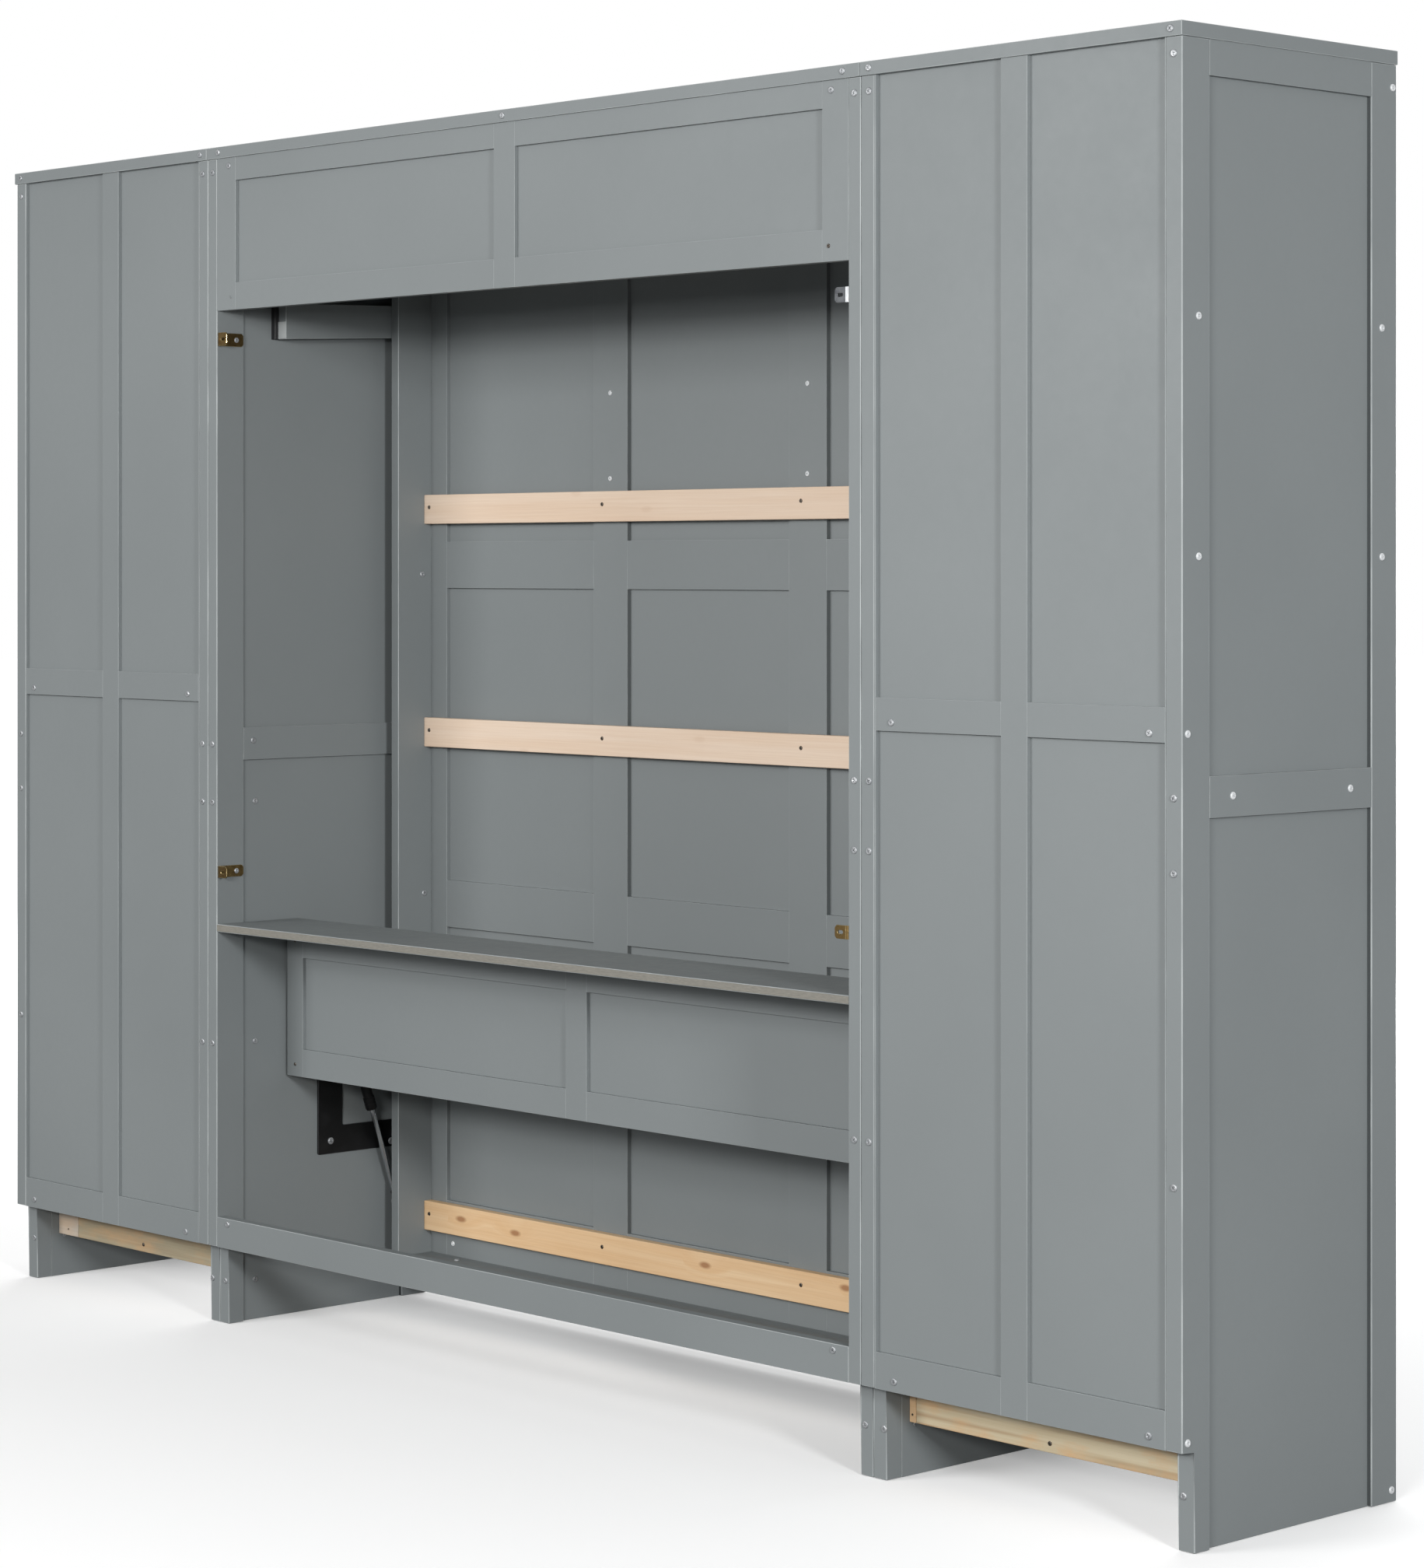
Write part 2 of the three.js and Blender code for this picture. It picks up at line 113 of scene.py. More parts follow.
# ---------- camera and light ----------
CAMERA_PLACE = (-5.0458, 4.4823, 1.3864)
CAMERA_TURN = 227.03
CAMERA_LENS = 90.19
CAMERA_SHIFT = -0.139
CAMERA_REACH = 120.0
AMBIENT = 0.35  # light that the white surroundings give
BACKDROP = 1.0  # how bright they look
LIGHTS = (  # name, place, target, size, power, colour
    ("key", (-4.2, 7.0, 2.6), (-0.2, 0.0, 1.2), (1.8, 0.8), 270, (1.0, 0.995, 0.985)),
    ("left_fill", (2.0, 6.5, 2.8), (0.2, 0.0, 1.2), (3.0, 2.2), 264, (1.0, 1.0, 1.0)),
    ("end_key", (-7.0, 2.5, 2.2), (0.8, -0.1, 1.0), (0.9, 0.9), 272, (0.98, 0.99, 1.0)),
    ("room_fill", (2.6, -6.5, 1.45), (0.3, 0.0, 1.1), (9.0, 1.2), 760, (1.0, 1.0, 1.0)),
)


def add_camera():
    data = bpy.data.cameras.new("camera")
    data.lens = CAMERA_LENS
    data.sensor_width = 36.0
    data.shift_y = CAMERA_SHIFT
    data.clip_end = CAMERA_REACH
    camera = bpy.data.objects.new("camera", data)
    camera.location = CAMERA_PLACE
    camera.rotation_euler = (math.radians(90), 0, math.radians(CAMERA_TURN))
    bpy.context.scene.collection.objects.link(camera)
    bpy.context.scene.camera = camera


def add_area_light(name, place, target, size, power, colour):
    data = bpy.data.lights.new(name, "AREA")
    data.shape = "RECTANGLE"
    data.size, data.size_y = size
    data.energy = power
    data.color = colour
    light = bpy.data.objects.new(name, data)
    light.location = place
    light.rotation_euler = (Vector(target) - Vector(place)).to_track_quat("-Z", "Y").to_euler()
    bpy.context.scene.collection.objects.link(light)


def add_world():
    world = bpy.data.worlds.new("studio")
    world.use_nodes = True
    tree = world.node_tree
    background = tree.nodes["Background"]
    background.inputs["Color"].default_value = (1.0, 1.0, 1.0, 1.0)
    seen = tree.nodes.new("ShaderNodeLightPath").outputs["Is Camera Ray"]
    strength = tree.nodes.new("ShaderNodeMapRange")
    strength.inputs["To Min"].default_value = AMBIENT
    strength.inputs["To Max"].default_value = BACKDROP
    tree.links.new(seen, strength.inputs["Value"])
    tree.links.new(strength.outputs["Result"], background.inputs["Strength"])
    bpy.context.scene.world = world
    view = bpy.context.scene.view_settings
    view.view_transform = "Standard"
    view.look = "None"
    view.exposure = 0.0


# ---------- node helpers ----------
class Graph:
    """A small wrapper that adds and links shader nodes."""

    def __init__(self, name):
        self.material = bpy.data.materials.new(name)
        self.material.use_nodes = True
        self.tree = self.material.node_tree
        self.shader = self.tree.nodes["Principled BSDF"]

    def add(self, kind, settings=None, **inputs):
        node = self.tree.nodes.new(kind)
        for key, value in (settings or {}).items():
            setattr(node, key, value)
        for key, value in inputs.items():
            self.feed(node, key.replace("_", " "), value)
        return node

    def feed(self, node, socket, value):
        target = node.inputs[socket] if isinstance(socket, (str, int)) else socket
        if isinstance(value, bpy.types.NodeSocket):
            self.tree.links.new(value, target)
        else:
            target.default_value = value

    def coords(self, scale=(1, 1, 1)):
        source = self.add("ShaderNodeTexCoord").outputs["Object"]
        mapping = self.add("ShaderNodeMapping", Vector=source)
        mapping.inputs["Scale"].default_value = scale
        return mapping.outputs["Vector"]

    def noise(self, scale, detail=3.0, stretch=(1, 1, 1), roughness=0.5, vector=None):
        place = vector or self.coords(stretch)
        node = self.add("ShaderNodeTexNoise", Vector=place, Scale=scale, Detail=detail, Roughness=roughness)
        return node.outputs["Fac"]

    def mask(self, scale, low, high, *noise, **settings):
        """Noise as 0 below the low level and 1 above the high one."""
        return self.span(self.noise(scale, *noise, **settings), low, high)

    def span(self, value, low, high, to_low=0.0, to_high=1.0):
        node = self.add("ShaderNodeMapRange", {"clamp": True}, Value=value)
        limits = {"From Min": low, "From Max": high, "To Min": to_low, "To Max": to_high}
        for socket, number in limits.items():
            node.inputs[socket].default_value = number
        return node.outputs["Result"]

    def math(self, operation, a, b):
        node = self.add("ShaderNodeMath", {"operation": operation})
        self.feed(node, 0, a)
        self.feed(node, 1, b)
        return node.outputs[0]

    def mix(self, factor, a, b):
        node = self.add("ShaderNodeMix", {"data_type": "RGBA"})
        self.feed(node, node.inputs[0], factor)
        self.feed(node, node.inputs[6], a)
        self.feed(node, node.inputs[7], b)
        return node.outputs[2]

    def tint(self, tone, mask, strength, colour):
        """Mixes some of a colour into a tone where the mask is high."""
        return self.mix(self.math("MULTIPLY", mask, strength), tone, colour)

    def attribute(self, name):
        return self.add("ShaderNodeAttribute", {"attribute_name": name}).outputs["Fac"]

    def bump(self, height, distance, strength=1.0, normal=None):
        node = self.add("ShaderNodeBump", Height=height, Distance=distance, Strength=strength)
        if normal is not None:
            self.feed(node, "Normal", normal)
        return node.outputs["Normal"]

    def finish(self, colour, roughness, normal=None, metallic=0.0, specular=0.5):
        self.feed(self.shader, "Base Color", colour)
        self.feed(self.shader, "Roughness", roughness)
        if normal is not None:
            self.feed(self.shader, "Normal", normal)
        self.shader.inputs["Metallic"].default_value = metallic
        self.shader.inputs["Specular IOR Level"].default_value = specular
        return self.material


def rgb(red, green, blue):
    """An sRGB colour, 0 to 255, as linear light."""
    def linear(value):
        value /= 255
        return value / 12.92 if value <= 0.04045 else ((value + 0.055) / 1.055) ** 2.4
    return (linear(red), linear(green), linear(blue), 1.0)


# ---------- materials ----------
PAINTED_RECESS_SHADE = rgb(72, 76, 77)  # painted shade on the recess walls of the side panels
STAIN = rgb(206, 158, 108)  # resin stains on old pine
KNOT_SHARE = 0.78  # cells whose random value is above this hold a knot


def paint_material(name, base, deep, wear_and_highlight):
    """Satin lacquer: cloudy tone, roller texture, edges lightened as scuffs and partly as a painted
    highlight, marked recess walls painted dark as shade, and a few dusty patches.
    """
    graph = Graph(name)
    speck = graph.mask(70.0, 0.3, 0.7, 2.0)
    tone = graph.mix(graph.mask(1.4, 0.32, 0.68, 4.0), deep, base)
    tone = graph.tint(tone, speck, 0.10, deep)
    patchy = graph.span(graph.noise(9.0), 0.35, 0.65, 0.35, 0.90)
    # Eased edges turn lighter: scuffed paint, and partly a painted highlight on the edges.
    tone = graph.tint(tone, graph.attribute("edge"), patchy, wear_and_highlight)
    # The marked recess walls are painted dark: painted shade.
    tone = graph.mix(graph.attribute("painted_shade"), tone, PAINTED_RECESS_SHADE)
    rough = graph.span(graph.noise(5.0, 5.0, roughness=0.65), 0.3, 0.7, 0.44, 0.56)
    rough = graph.math("ADD", rough, graph.math("MULTIPLY", speck, 0.05))
    normal = graph.bump(graph.noise(420.0, 2.0), 0.00012, 0.35)
    normal = graph.bump(graph.noise(26.0, 2.0), 0.0012, 0.12, normal)
    return graph.finish(tone, rough, normal, specular=0.38)


def pine_material(name, pale, tan, dark, knotty=1.0, stained=0.0):
    """Planed pine: long growth rings that bend round a few knots, fine fibre, streaks and stains."""
    graph = Graph(name)
    near, knot = knots(graph, knotty)
    lift = graph.add("ShaderNodeCombineXYZ", Z=graph.math("MULTIPLY", near, 0.7))
    bend = graph.add("ShaderNodeVectorMath", {"operation": "ADD"})
    graph.feed(bend, 0, graph.coords((0.9, 30.0, 30.0)))
    graph.feed(bend, 1, lift.outputs[0])
    rings = graph.mask(1.6, 0.38, 0.62, vector=bend.outputs[0], roughness=0.55)
    fibre = graph.mask(1.0, 0.3, 0.7, stretch=(6.0, 420.0, 420.0))
    tone = graph.tint(pale, rings, 0.55, tan)
    tone = graph.tint(tone, graph.mask(1.0, 0.35, 0.7, stretch=(2.5, 4.0, 4.0)), 0.35, tan)
    tone = graph.tint(tone, fibre, 0.12, dark)
    tone = graph.tint(tone, graph.mask(1.0, 0.52, 0.68, 2.0, (2.0, 60.0, 60.0)), stained, dark)
    tone = graph.tint(tone, graph.mask(1.0, 0.46, 0.62, 5.0, (7.0, 12.0, 20.0), 0.6), stained, STAIN)
    tone = graph.tint(tone, near, 0.30, tan)
    tone = graph.tint(tone, knot, 0.80, dark)
    normal = graph.bump(fibre, 0.0002, 0.5)
    normal = graph.bump(rings, 0.0003, 0.25, normal)
    return graph.finish(tone, graph.span(fibre, 0.0, 1.0, 0.56, 0.72), normal, specular=0.35)


def knots(graph, strength):
    """Masks of a few knots on a face along X and Z: the swirl round each, and its dark middle."""
    axes = graph.add("ShaderNodeSeparateXYZ", Vector=graph.coords((6.0, 1.0, 15.0))).outputs
    flat = graph.add("ShaderNodeCombineXYZ", X=axes["X"], Y=axes["Z"]).outputs[0]
    cells = graph.add("ShaderNodeTexVoronoi", {"voronoi_dimensions": "2D"}, Vector=flat, Scale=1.0).outputs
    pick = graph.add("ShaderNodeSeparateColor", Color=cells["Color"]).outputs["Red"]
    chosen = graph.math("MULTIPLY", graph.math("GREATER_THAN", pick, KNOT_SHARE), strength)
    near = graph.span(cells["Distance"], 0.06, 0.42, 1.0, 0.0)
    middle = graph.span(cells["Distance"], 0.05, 0.11, 1.0, 0.0)
    return graph.math("MULTIPLY", near, chosen), graph.math("MULTIPLY", middle, chosen)


def raw_board_material():
    """Unpainted fibreboard edge: pale, matte and slightly fuzzy."""
    graph = Graph("raw_board")
    grain = graph.mask(3.0, 0.3, 0.7, 4.0, (30.0, 30.0, 300.0))
    tone = graph.mix(grain, rgb(112, 110, 103), rgb(132, 129, 121))
    return graph.finish(tone, graph.span(grain, 0, 1, 0.8, 0.95), graph.bump(grain, 0.0003, 0.4))


def plywood_material():
    """Birch plywood for the drawer boxes."""
    graph = Graph("birch_ply")
    pores = graph.mask(1.0, 0.35, 0.65, stretch=(300.0, 9.0, 300.0))
    figure = graph.mask(1.5, 0.35, 0.65, 4.0, (14.0, 1.3, 14.0))
    tone = graph.mix(figure, rgb(222, 200, 165), rgb(206, 179, 138))
    tone = graph.tint(tone, pores, 0.2, rgb(160, 128, 88))
    return graph.finish(tone, graph.span(pores, 0, 1, 0.5, 0.66), graph.bump(pores, 0.0002, 0.4))


def powder_coat_material():
    """Black powder coat with a fine pebble and faint dusty rubs."""
    graph = Graph("black_powder_coat")
    rub = graph.mask(22.0, 0.5, 0.75, 5.0)
    tone = graph.tint(rgb(14, 14, 15), rub, 0.25, rgb(44, 45, 47))
    tone = graph.tint(tone, graph.attribute("edge"), 0.4, rgb(78, 80, 82))
    pebble = graph.bump(graph.noise(1400.0, 1.0), 0.0001, 0.5)
    return graph.finish(tone, graph.span(rub, 0, 1, 0.38, 0.55), pebble, specular=0.3)


def plated_material(name, bright, dull, rough, brushing=(1, 1, 1), rubbed_and_highlight=None, metallic=1.0):
    """Plated steel: mottled plate, fine draw lines and edges in a lighter colour that is wear and, on the
    grey bracket's bend, a painted highlight; rough is (low, high).
    """
    graph = Graph(name)
    mottle = graph.mask(90.0, 0.3, 0.7, 4.0)
    tone = graph.mix(mottle, dull, bright)
    tone = graph.mix(graph.attribute("edge"), tone, rubbed_and_highlight or bright)
    lines = graph.bump(graph.noise(700.0, 2.0, brushing), 0.00005, 0.4)
    return graph.finish(tone, graph.span(mottle, 0, 1, rough[1], rough[0]), lines, metallic=metallic)


def black_plastic_material():
    """Moulded black plastic with a fine grain."""
    graph = Graph("black_plastic")
    grain = graph.noise(900.0, 2.0)
    tone = graph.mix(grain, rgb(24, 24, 25), rgb(38, 38, 40))
    return graph.finish(tone, graph.span(grain, 0.3, 0.7, 0.45, 0.6), graph.bump(grain, 0.0001, 0.4))


# The last colour is for eased edges: scuffed paint, and partly a painted highlight.
PAINT = paint_material("grey_satin_paint", rgb(124, 129, 130), rgb(119, 124, 125), rgb(168, 173, 173))
# Painted light: a pale copy of the grey paint for the lit lower part of the cleats' rear end faces.
LIT_END_PAINT = paint_material("painted_light_patch", rgb(172, 176, 176), rgb(166, 170, 170), rgb(186, 190, 190))
PINE_PALE = pine_material("pine_pale", rgb(222, 203, 184), rgb(214, 188, 163), rgb(166, 122, 88), 0.15)
PINE_WARM = pine_material("pine_warm", rgb(229, 199, 160), rgb(216, 176, 130), rgb(150, 100, 62))
PINE_GREY = pine_material("pine_grey", rgb(196, 186, 172), rgb(170, 160, 146), rgb(128, 112, 96), 0.3, 0.25)
PINE_DULL = pine_material("pine_dull", rgb(206, 194, 166), rgb(182, 166, 134), rgb(148, 112, 76), 0.3, 0.6)
# A darker copy of the dull pine for the right-hand rail: painted shade.
PINE_SHADED = pine_material("pine_shaded", rgb(172, 162, 138), rgb(146, 134, 108), rgb(120, 94, 66), 0.3, 0.35)
RAW = raw_board_material()
PLY = plywood_material()
COAT = powder_coat_material()
PLASTIC = black_plastic_material()
ZINC = plated_material("bright_zinc", rgb(184, 186, 188), rgb(146, 149, 152), (0.42, 0.56), metallic=0.65)
WHITE_ZINC = plated_material("white_zinc", rgb(222, 224, 225), rgb(200, 203, 205), (0.45, 0.6), metallic=0.2)
# The grey zinc's edge colour also paints the highlight along the bend of its bracket.
GREY_ZINC = plated_material("grey_zinc", rgb(96, 98, 100), rgb(68, 70, 73), (0.34, 0.48),
                            rubbed_and_highlight=rgb(158, 160, 162))
YELLOW = plated_material("yellow_zinc", rgb(160, 134, 88), rgb(104, 84, 52), (0.24, 0.42),
                         rubbed_and_highlight=rgb(226, 204, 150))
NICKEL = plated_material("brushed_nickel", rgb(190, 189, 186), rgb(168, 167, 165), (0.26, 0.36), (1, 1, 0.02))
ROD = plated_material("polished_rod", rgb(222, 224, 226), rgb(205, 207, 210), (0.08, 0.16))
SLAT_STEEL = plated_material("dull_steel", rgb(120, 112, 104), rgb(84, 78, 72), (0.35, 0.5))


# ---------- floor ----------
FLOOR_HALF = 45.0
FLOOR_GAP = 0.0005
FLOOR_FADE = (2.0, 6.0)  # distance at which the floor starts and ends melting into the backdrop
FLOOR_GLOW = (0.22, 0.75)
FLOOR_SEEN = 0.84
FLOOR_BOUNCE = 0.22  # how much light it throws back up at the furniture


def floor_material():
    """A matt pale floor that melts into the white backdrop far from the bed."""
    graph = Graph("pale_floor")
    place = graph.add("ShaderNodeTexCoord").outputs["Object"]
    distance = graph.add("ShaderNodeVectorMath", {"operation": "LENGTH"})
    graph.feed(distance, 0, place)
    seen = graph.add("ShaderNodeLightPath").outputs["Is Camera Ray"]
    glow = graph.span(distance.outputs["Value"], *FLOOR_FADE, *FLOOR_GLOW)
    grey = graph.span(seen, 0.0, 1.0, FLOOR_BOUNCE, FLOOR_SEEN)
    graph.feed(graph.shader, "Emission Color", (1.0, 1.0, 1.0, 1.0))
    graph.feed(graph.shader, "Emission Strength", graph.math("MULTIPLY", glow, seen))
    return graph.finish(grey, 0.9, specular=0.2)


def add_floor():
    bm = bmesh.new()
    bmesh.ops.create_grid(bm, x_segments=1, y_segments=1, size=FLOOR_HALF)
    mesh = bpy.data.meshes.new("studio_floor")
    bm.to_mesh(mesh)
    bm.free()
    floor = bpy.data.objects.new("studio_floor", mesh)
    floor.location = (0, 0, -FLOOR_GAP)
    bpy.context.scene.collection.objects.link(floor)
    mesh.materials.append(floor_material())


def build_studio():
    add_camera()
    add_world()
    for light in LIGHTS:
        add_area_light(*light)
    add_floor()


# ---------- mesh helpers ----------
def add_piece(name, bm, material, body, replaced=(), smooth=False):
    """Turns a bmesh into a piece that rides on a CAD body."""
    bmesh.ops.recalc_face_normals(bm, faces=bm.faces)
    for face in bm.faces:
        face.smooth = smooth
    mesh = bpy.data.meshes.new(name)
    bm.to_mesh(mesh)
    bm.free()
    mesh.materials.append(material)
    piece = bpy.data.objects.new(name, mesh)
    bpy.context.scene.collection.objects.link(piece)
    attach(piece, body)
    if replaced:
        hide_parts(*replaced)
    return piece


def edge_layer(bm):
    return bm.faces.layers.float.get("edge") or bm.faces.layers.float.new("edge")


def new_mesh():
    """An empty bmesh whose faces can be marked as edges, painted lighter as scuffs and partly as a painted
    highlight.
    """
    bm = bmesh.new()
    edge_layer(bm)
    return bm


def add_board(bm, x, y, z, ease=0.0009, segments=2):
    """Adds a board with eased edges to bm; the eased faces carry edge = 1."""
    size = [hi - lo for lo, hi in (x, y, z)]
    middle = [(lo + hi) / 2 for lo, hi in (x, y, z)]
    place = Matrix.Translation(middle) @ Matrix.Diagonal((*size, 1))
    made = bmesh.ops.create_cube(bm, size=1.0, matrix=place)
    flat = {face for vert in made["verts"] for face in vert.link_faces}
    ease_edges(bm, flat, min(ease, min(size) * 0.3), segments)
    return bm


def ease_edges(bm, flat, radius, segments):
    """Rounds every edge of some flat faces; the new faces carry edge = 1."""
    layer = edge_layer(bm)
    edges = {edge for face in flat for edge in face.edges}
    result = bmesh.ops.bevel(bm, geom=list(edges), offset=radius, segments=segments, profile=0.5,
                             affect="EDGES", clamp_overlap=True)
    for face in result["faces"]:
        if face not in flat:
            face[layer] = 1.0


def boards(name, parts, body, material=None, replaced=(), ease=0.0009):
    """One piece made of several boards; parts is a list of (x, y, z) ranges."""
    bm = new_mesh()
    for x, y, z in parts:
        add_board(bm, x, y, z, ease)
    return add_piece(name, bm, material or PAINT, body, replaced)


def ring(bm, place, radius, height, segments):
    """Vertices on a circle round local Z of the matrix place; a circle of no size has one."""
    if radius < 1e-6:
        segments = 1
    angles = [2 * math.pi * i / segments for i in range(segments)]
    points = [(radius * math.cos(a), radius * math.sin(a), height) for a in angles]
    return [bm.verts.new(place @ Vector(point)) for point in points]


def join_rings(bm, rings):
    """Faces between each ring and the next."""
    for lower, upper in zip(rings, rings[1:]):
        count = max(len(lower), len(upper))
        for i in range(count):
            j = (i + 1) % count
            corners = [ring_[k % len(ring_)] for ring_, k in ((lower, i), (lower, j), (upper, j), (upper, i))]
            unique = list(dict.fromkeys(corners))
            if len(unique) > 2:
                bm.faces.new(unique)


def lathe(bm, profile, place, segments=32, closed=False):
    """Turns (radius, height) points round local Z; a closed profile makes a ring round a hole."""
    rings = [ring(bm, place, radius, height, segments) for radius, height in profile]
    join_rings(bm, rings + rings[:1] if closed else rings)
    return bm


def aim(place, direction, roll=0.0):
    """A matrix at place whose local Z points along direction."""
    turn = Vector(direction).to_track_quat("Z", "Y").to_matrix().to_4x4()
    return Matrix.Translation(place) @ turn @ Matrix.Rotation(roll, 4, "Z")


SCREW_SEGMENTS = 24
SCREW_SIZE = 0.0056  # radius of the usual head


def add_screw(bm, place, direction, radius, roll):
    """A pan-head screw with a real cross recess, standing on a surface."""
    at = aim(place, direction, roll)
    height = radius * 0.38
    profile = [(1.0, -0.0004), (1.0, height * 0.35), (0.93, height * 0.72), (0.72, height)]
    rings = [ring(bm, at, radius * part, level, SCREW_SEGMENTS) for part, level in profile]
    join_rings(bm, rings)
    arm, slot = radius * 0.58, radius * 0.13
    outline = []
    for quarter in range(4):
        turn = Matrix.Rotation(quarter * math.pi / 2, 4, "Z")
        outline += [turn @ Vector(p) for p in ((arm, -slot, 0), (arm, slot, 0), (slot, slot, 0))]
    top = [bm.verts.new(at @ Vector((p.x, p.y, height))) for p in outline]
    deep = [bm.verts.new(at @ Vector((p.x * 0.6, p.y * 0.6, height * 0.1))) for p in outline]
    for (a, b), (c, d) in zip(pairs(top), pairs(deep)):
        bm.faces.new((a, b, d, c))
    bm.faces.new(deep)
    edges = [bm.edges.get(pair) for loop in (rings[-1], top) for pair in pairs(loop)]
    bmesh.ops.triangle_fill(bm, edges=edges, use_beauty=True)
    bm.faces.new(list(reversed(rings[0])))


def screws(name, places, direction, body, radius=SCREW_SIZE, material=None):
    """A group of screws on one body, each with its own turn of the cross."""
    dice = random.Random(name)
    bm = bmesh.new()
    for place in places:
        add_screw(bm, Vector(place), direction, radius, dice.uniform(0, math.pi / 2))
    return add_piece(name, bm, material or ZINC, body)


# ---------- side panels ----------
def framed_side(node, face_x, back_x, body="cabinet"):
    """A stile-and-rail side panel: two stiles, two rails and a sunk field behind them."""
    inward = 1 if back_x > face_x else -1
    sunk = tuple(sorted((face_x + inward * SIDE_RECESS, back_x)))
    full = tuple(sorted((face_x, back_x)))
    inner_y = (FRONT + STILE, REAR - STILE)
    field = [(sunk, inner_y, (0.0, SIDE_MID_RAIL[0])), (sunk, inner_y, (SIDE_MID_RAIL[1], SIDE_TOP_RAIL))]
    rear_edge = REAR - NOTCH[0]
    bm = new_mesh()
    for part in field:
        add_board(bm, *part, ease=0.0003)
    add_board(bm, full, (FRONT, FRONT + STILE), (0.0, CARCASS_TOP), POST_EASE)
    mark_painted_shade(bm, FRONT + STILE)
    add_notched_stile(bm, full, rear_edge)
    add_board(bm, full, inner_y, SIDE_MID_RAIL, ease=0.0004)
    add_board(bm, full, inner_y, (SIDE_TOP_RAIL, CARCASS_TOP), ease=0.0004)
    return add_piece(node + "_boards", bm, PAINT, body, (node,))


def mark_painted_shade(bm, y):
    """The front stile's face at y is painted dark as shade where it stands proud of the sunk field."""
    layer = bm.faces.layers.float.new("painted_shade")
    bm.normal_update()
    for face in bm.faces:
        if face.normal.y > 0.99 and abs(face.calc_center_median().y - y) < 1e-5:
            face[layer] = 1.0


def add_notched_stile(bm, x, foot_y):
    """The rear stile, cut away at the foot to clear a skirting board."""
    outline = [(REAR - STILE, 0.0), (foot_y, 0.0), (foot_y, NOTCH[1]), (REAR, NOTCH[1]),
               (REAR, CARCASS_TOP), (REAR - STILE, CARCASS_TOP)]
    near = [bm.verts.new((x[0], y, z)) for y, z in outline]
    far = [bm.verts.new((x[1], y, z)) for y, z in outline]
    faces = [bm.faces.new(near), bm.faces.new(list(reversed(far)))]
    for (a, b), (c, d) in zip(pairs(near), pairs(far)):
        faces.append(bm.faces.new((a, c, d, b)))
    ease_edges(bm, set(faces), POST_EASE, 3)


def plain_side(node, body="cabinet"):
    (x0, _, _), (x1, _, _) = span(node)
    bm = new_mesh()
    add_board(bm, (x0, x1), (FRONT, REAR - STILE), (0.0, CARCASS_TOP), ease=0.0005)
    add_notched_stile(bm, (x0, x1), REAR - NOTCH[0])
    return add_piece(node + "_boards", bm, PAINT, body, (node,))


def build_sides():
    for word, sign in SIDES:
        framed_side(f"center_side_{word}", sign * INNER, sign * SEAM)
        framed_side(f"{word}_tower_outer_side", sign * OUTER_SIDE[1][0], sign * OUTER_SIDE[0][0])
        plain_side(f"{word}_tower_inner_side")


# ---------- plain painted boards taken straight from the frame ----------
PLAIN_BOARDS = ["center_top", "rear_bottom_rail", "front_toe_rail"]
PLAIN_BED_BOARDS = ["bed_head_rail", "bed_foot_rail"]


def board_from_node(node, body, ease=0.0009, material=None):
    low, high = span(node)
    return boards(node + "_board", [tuple(zip(low, high))], body, material, (node,), ease)


def build_plain_boards():
    for node in PLAIN_BOARDS:
        board_from_node(node, "cabinet")
    for node in PLAIN_BED_BOARDS:
        board_from_node(node, "bed")
    for word, _ in SIDES:
        for part in ("top", "bottom", "divider", "shelf_lower", "shelf_upper"):
            board_from_node(f"{word}_tower_{part}", "cabinet")


CLEAT_RISE = {"bottom": 0.012, "top": 0.006}  # the cleats are nailed on slightly out of level
# Thickness of the black strip under each block, which stands in for shade.
CLEAT_SHADE_STRIP = 0.012
LIT_END_SHARE = 0.45  # share of a block's end face, from below, painted pale as the light that falls on it
SHADE_STRIP_TAIL = 0.008  # how far the black shade strip reaches past the block towards the wall


def build_stop_cleats():
    """Each cleat is a painted block on a thin black strip, a dark sheet standing in for the shade beside the
    block's rear end; the end face's lower part is painted pale as lit.
    """
    for word, sign in SIDES:
        node = f"stop_cleat_{word}"
        low, high = span(node)
        seat, face = sorted((abs(low[0]), abs(high[0])), reverse=True)
        joint = seat - CLEAT_SHADE_STRIP
        # The black layer is painted shade: a dark strip put where the shade beside the block falls.
        layers = (("block", face, joint, 0.0, PAINT), ("shade_strip", joint, seat, SHADE_STRIP_TAIL, PLASTIC))
        for part, near, far, tail, material in layers:
            rear = high[1] + tail
            outline = [(low[1], low[2] + CLEAT_RISE["bottom"]), (rear, low[2]),
                       (rear, high[2] - CLEAT_RISE["top"]), (low[1], high[2])]
            bm = bmesh.new()
            add_plate(bm, outline, far - near, along_x(side_x(sign, near, far)[0]), ease=0.0010)
            add_piece(f"{node}_{part}", bm, material, "cabinet", (node,))
        # The lower part of the block's rear end face is painted pale: a painted patch of light.
        lit_z = (low[2] + 0.001, low[2] + (high[2] - low[2]) * LIT_END_SHARE)
        end = (side_x(sign, face, joint), (high[1] - 0.0005, high[1] + 0.0010), lit_z)
        boards(f"{node}_painted_lit_end", [end], "cabinet", LIT_END_PAINT, ease=0.0006)


RAW_STRIP = 0.0006
RAW_INSET = 0.0012


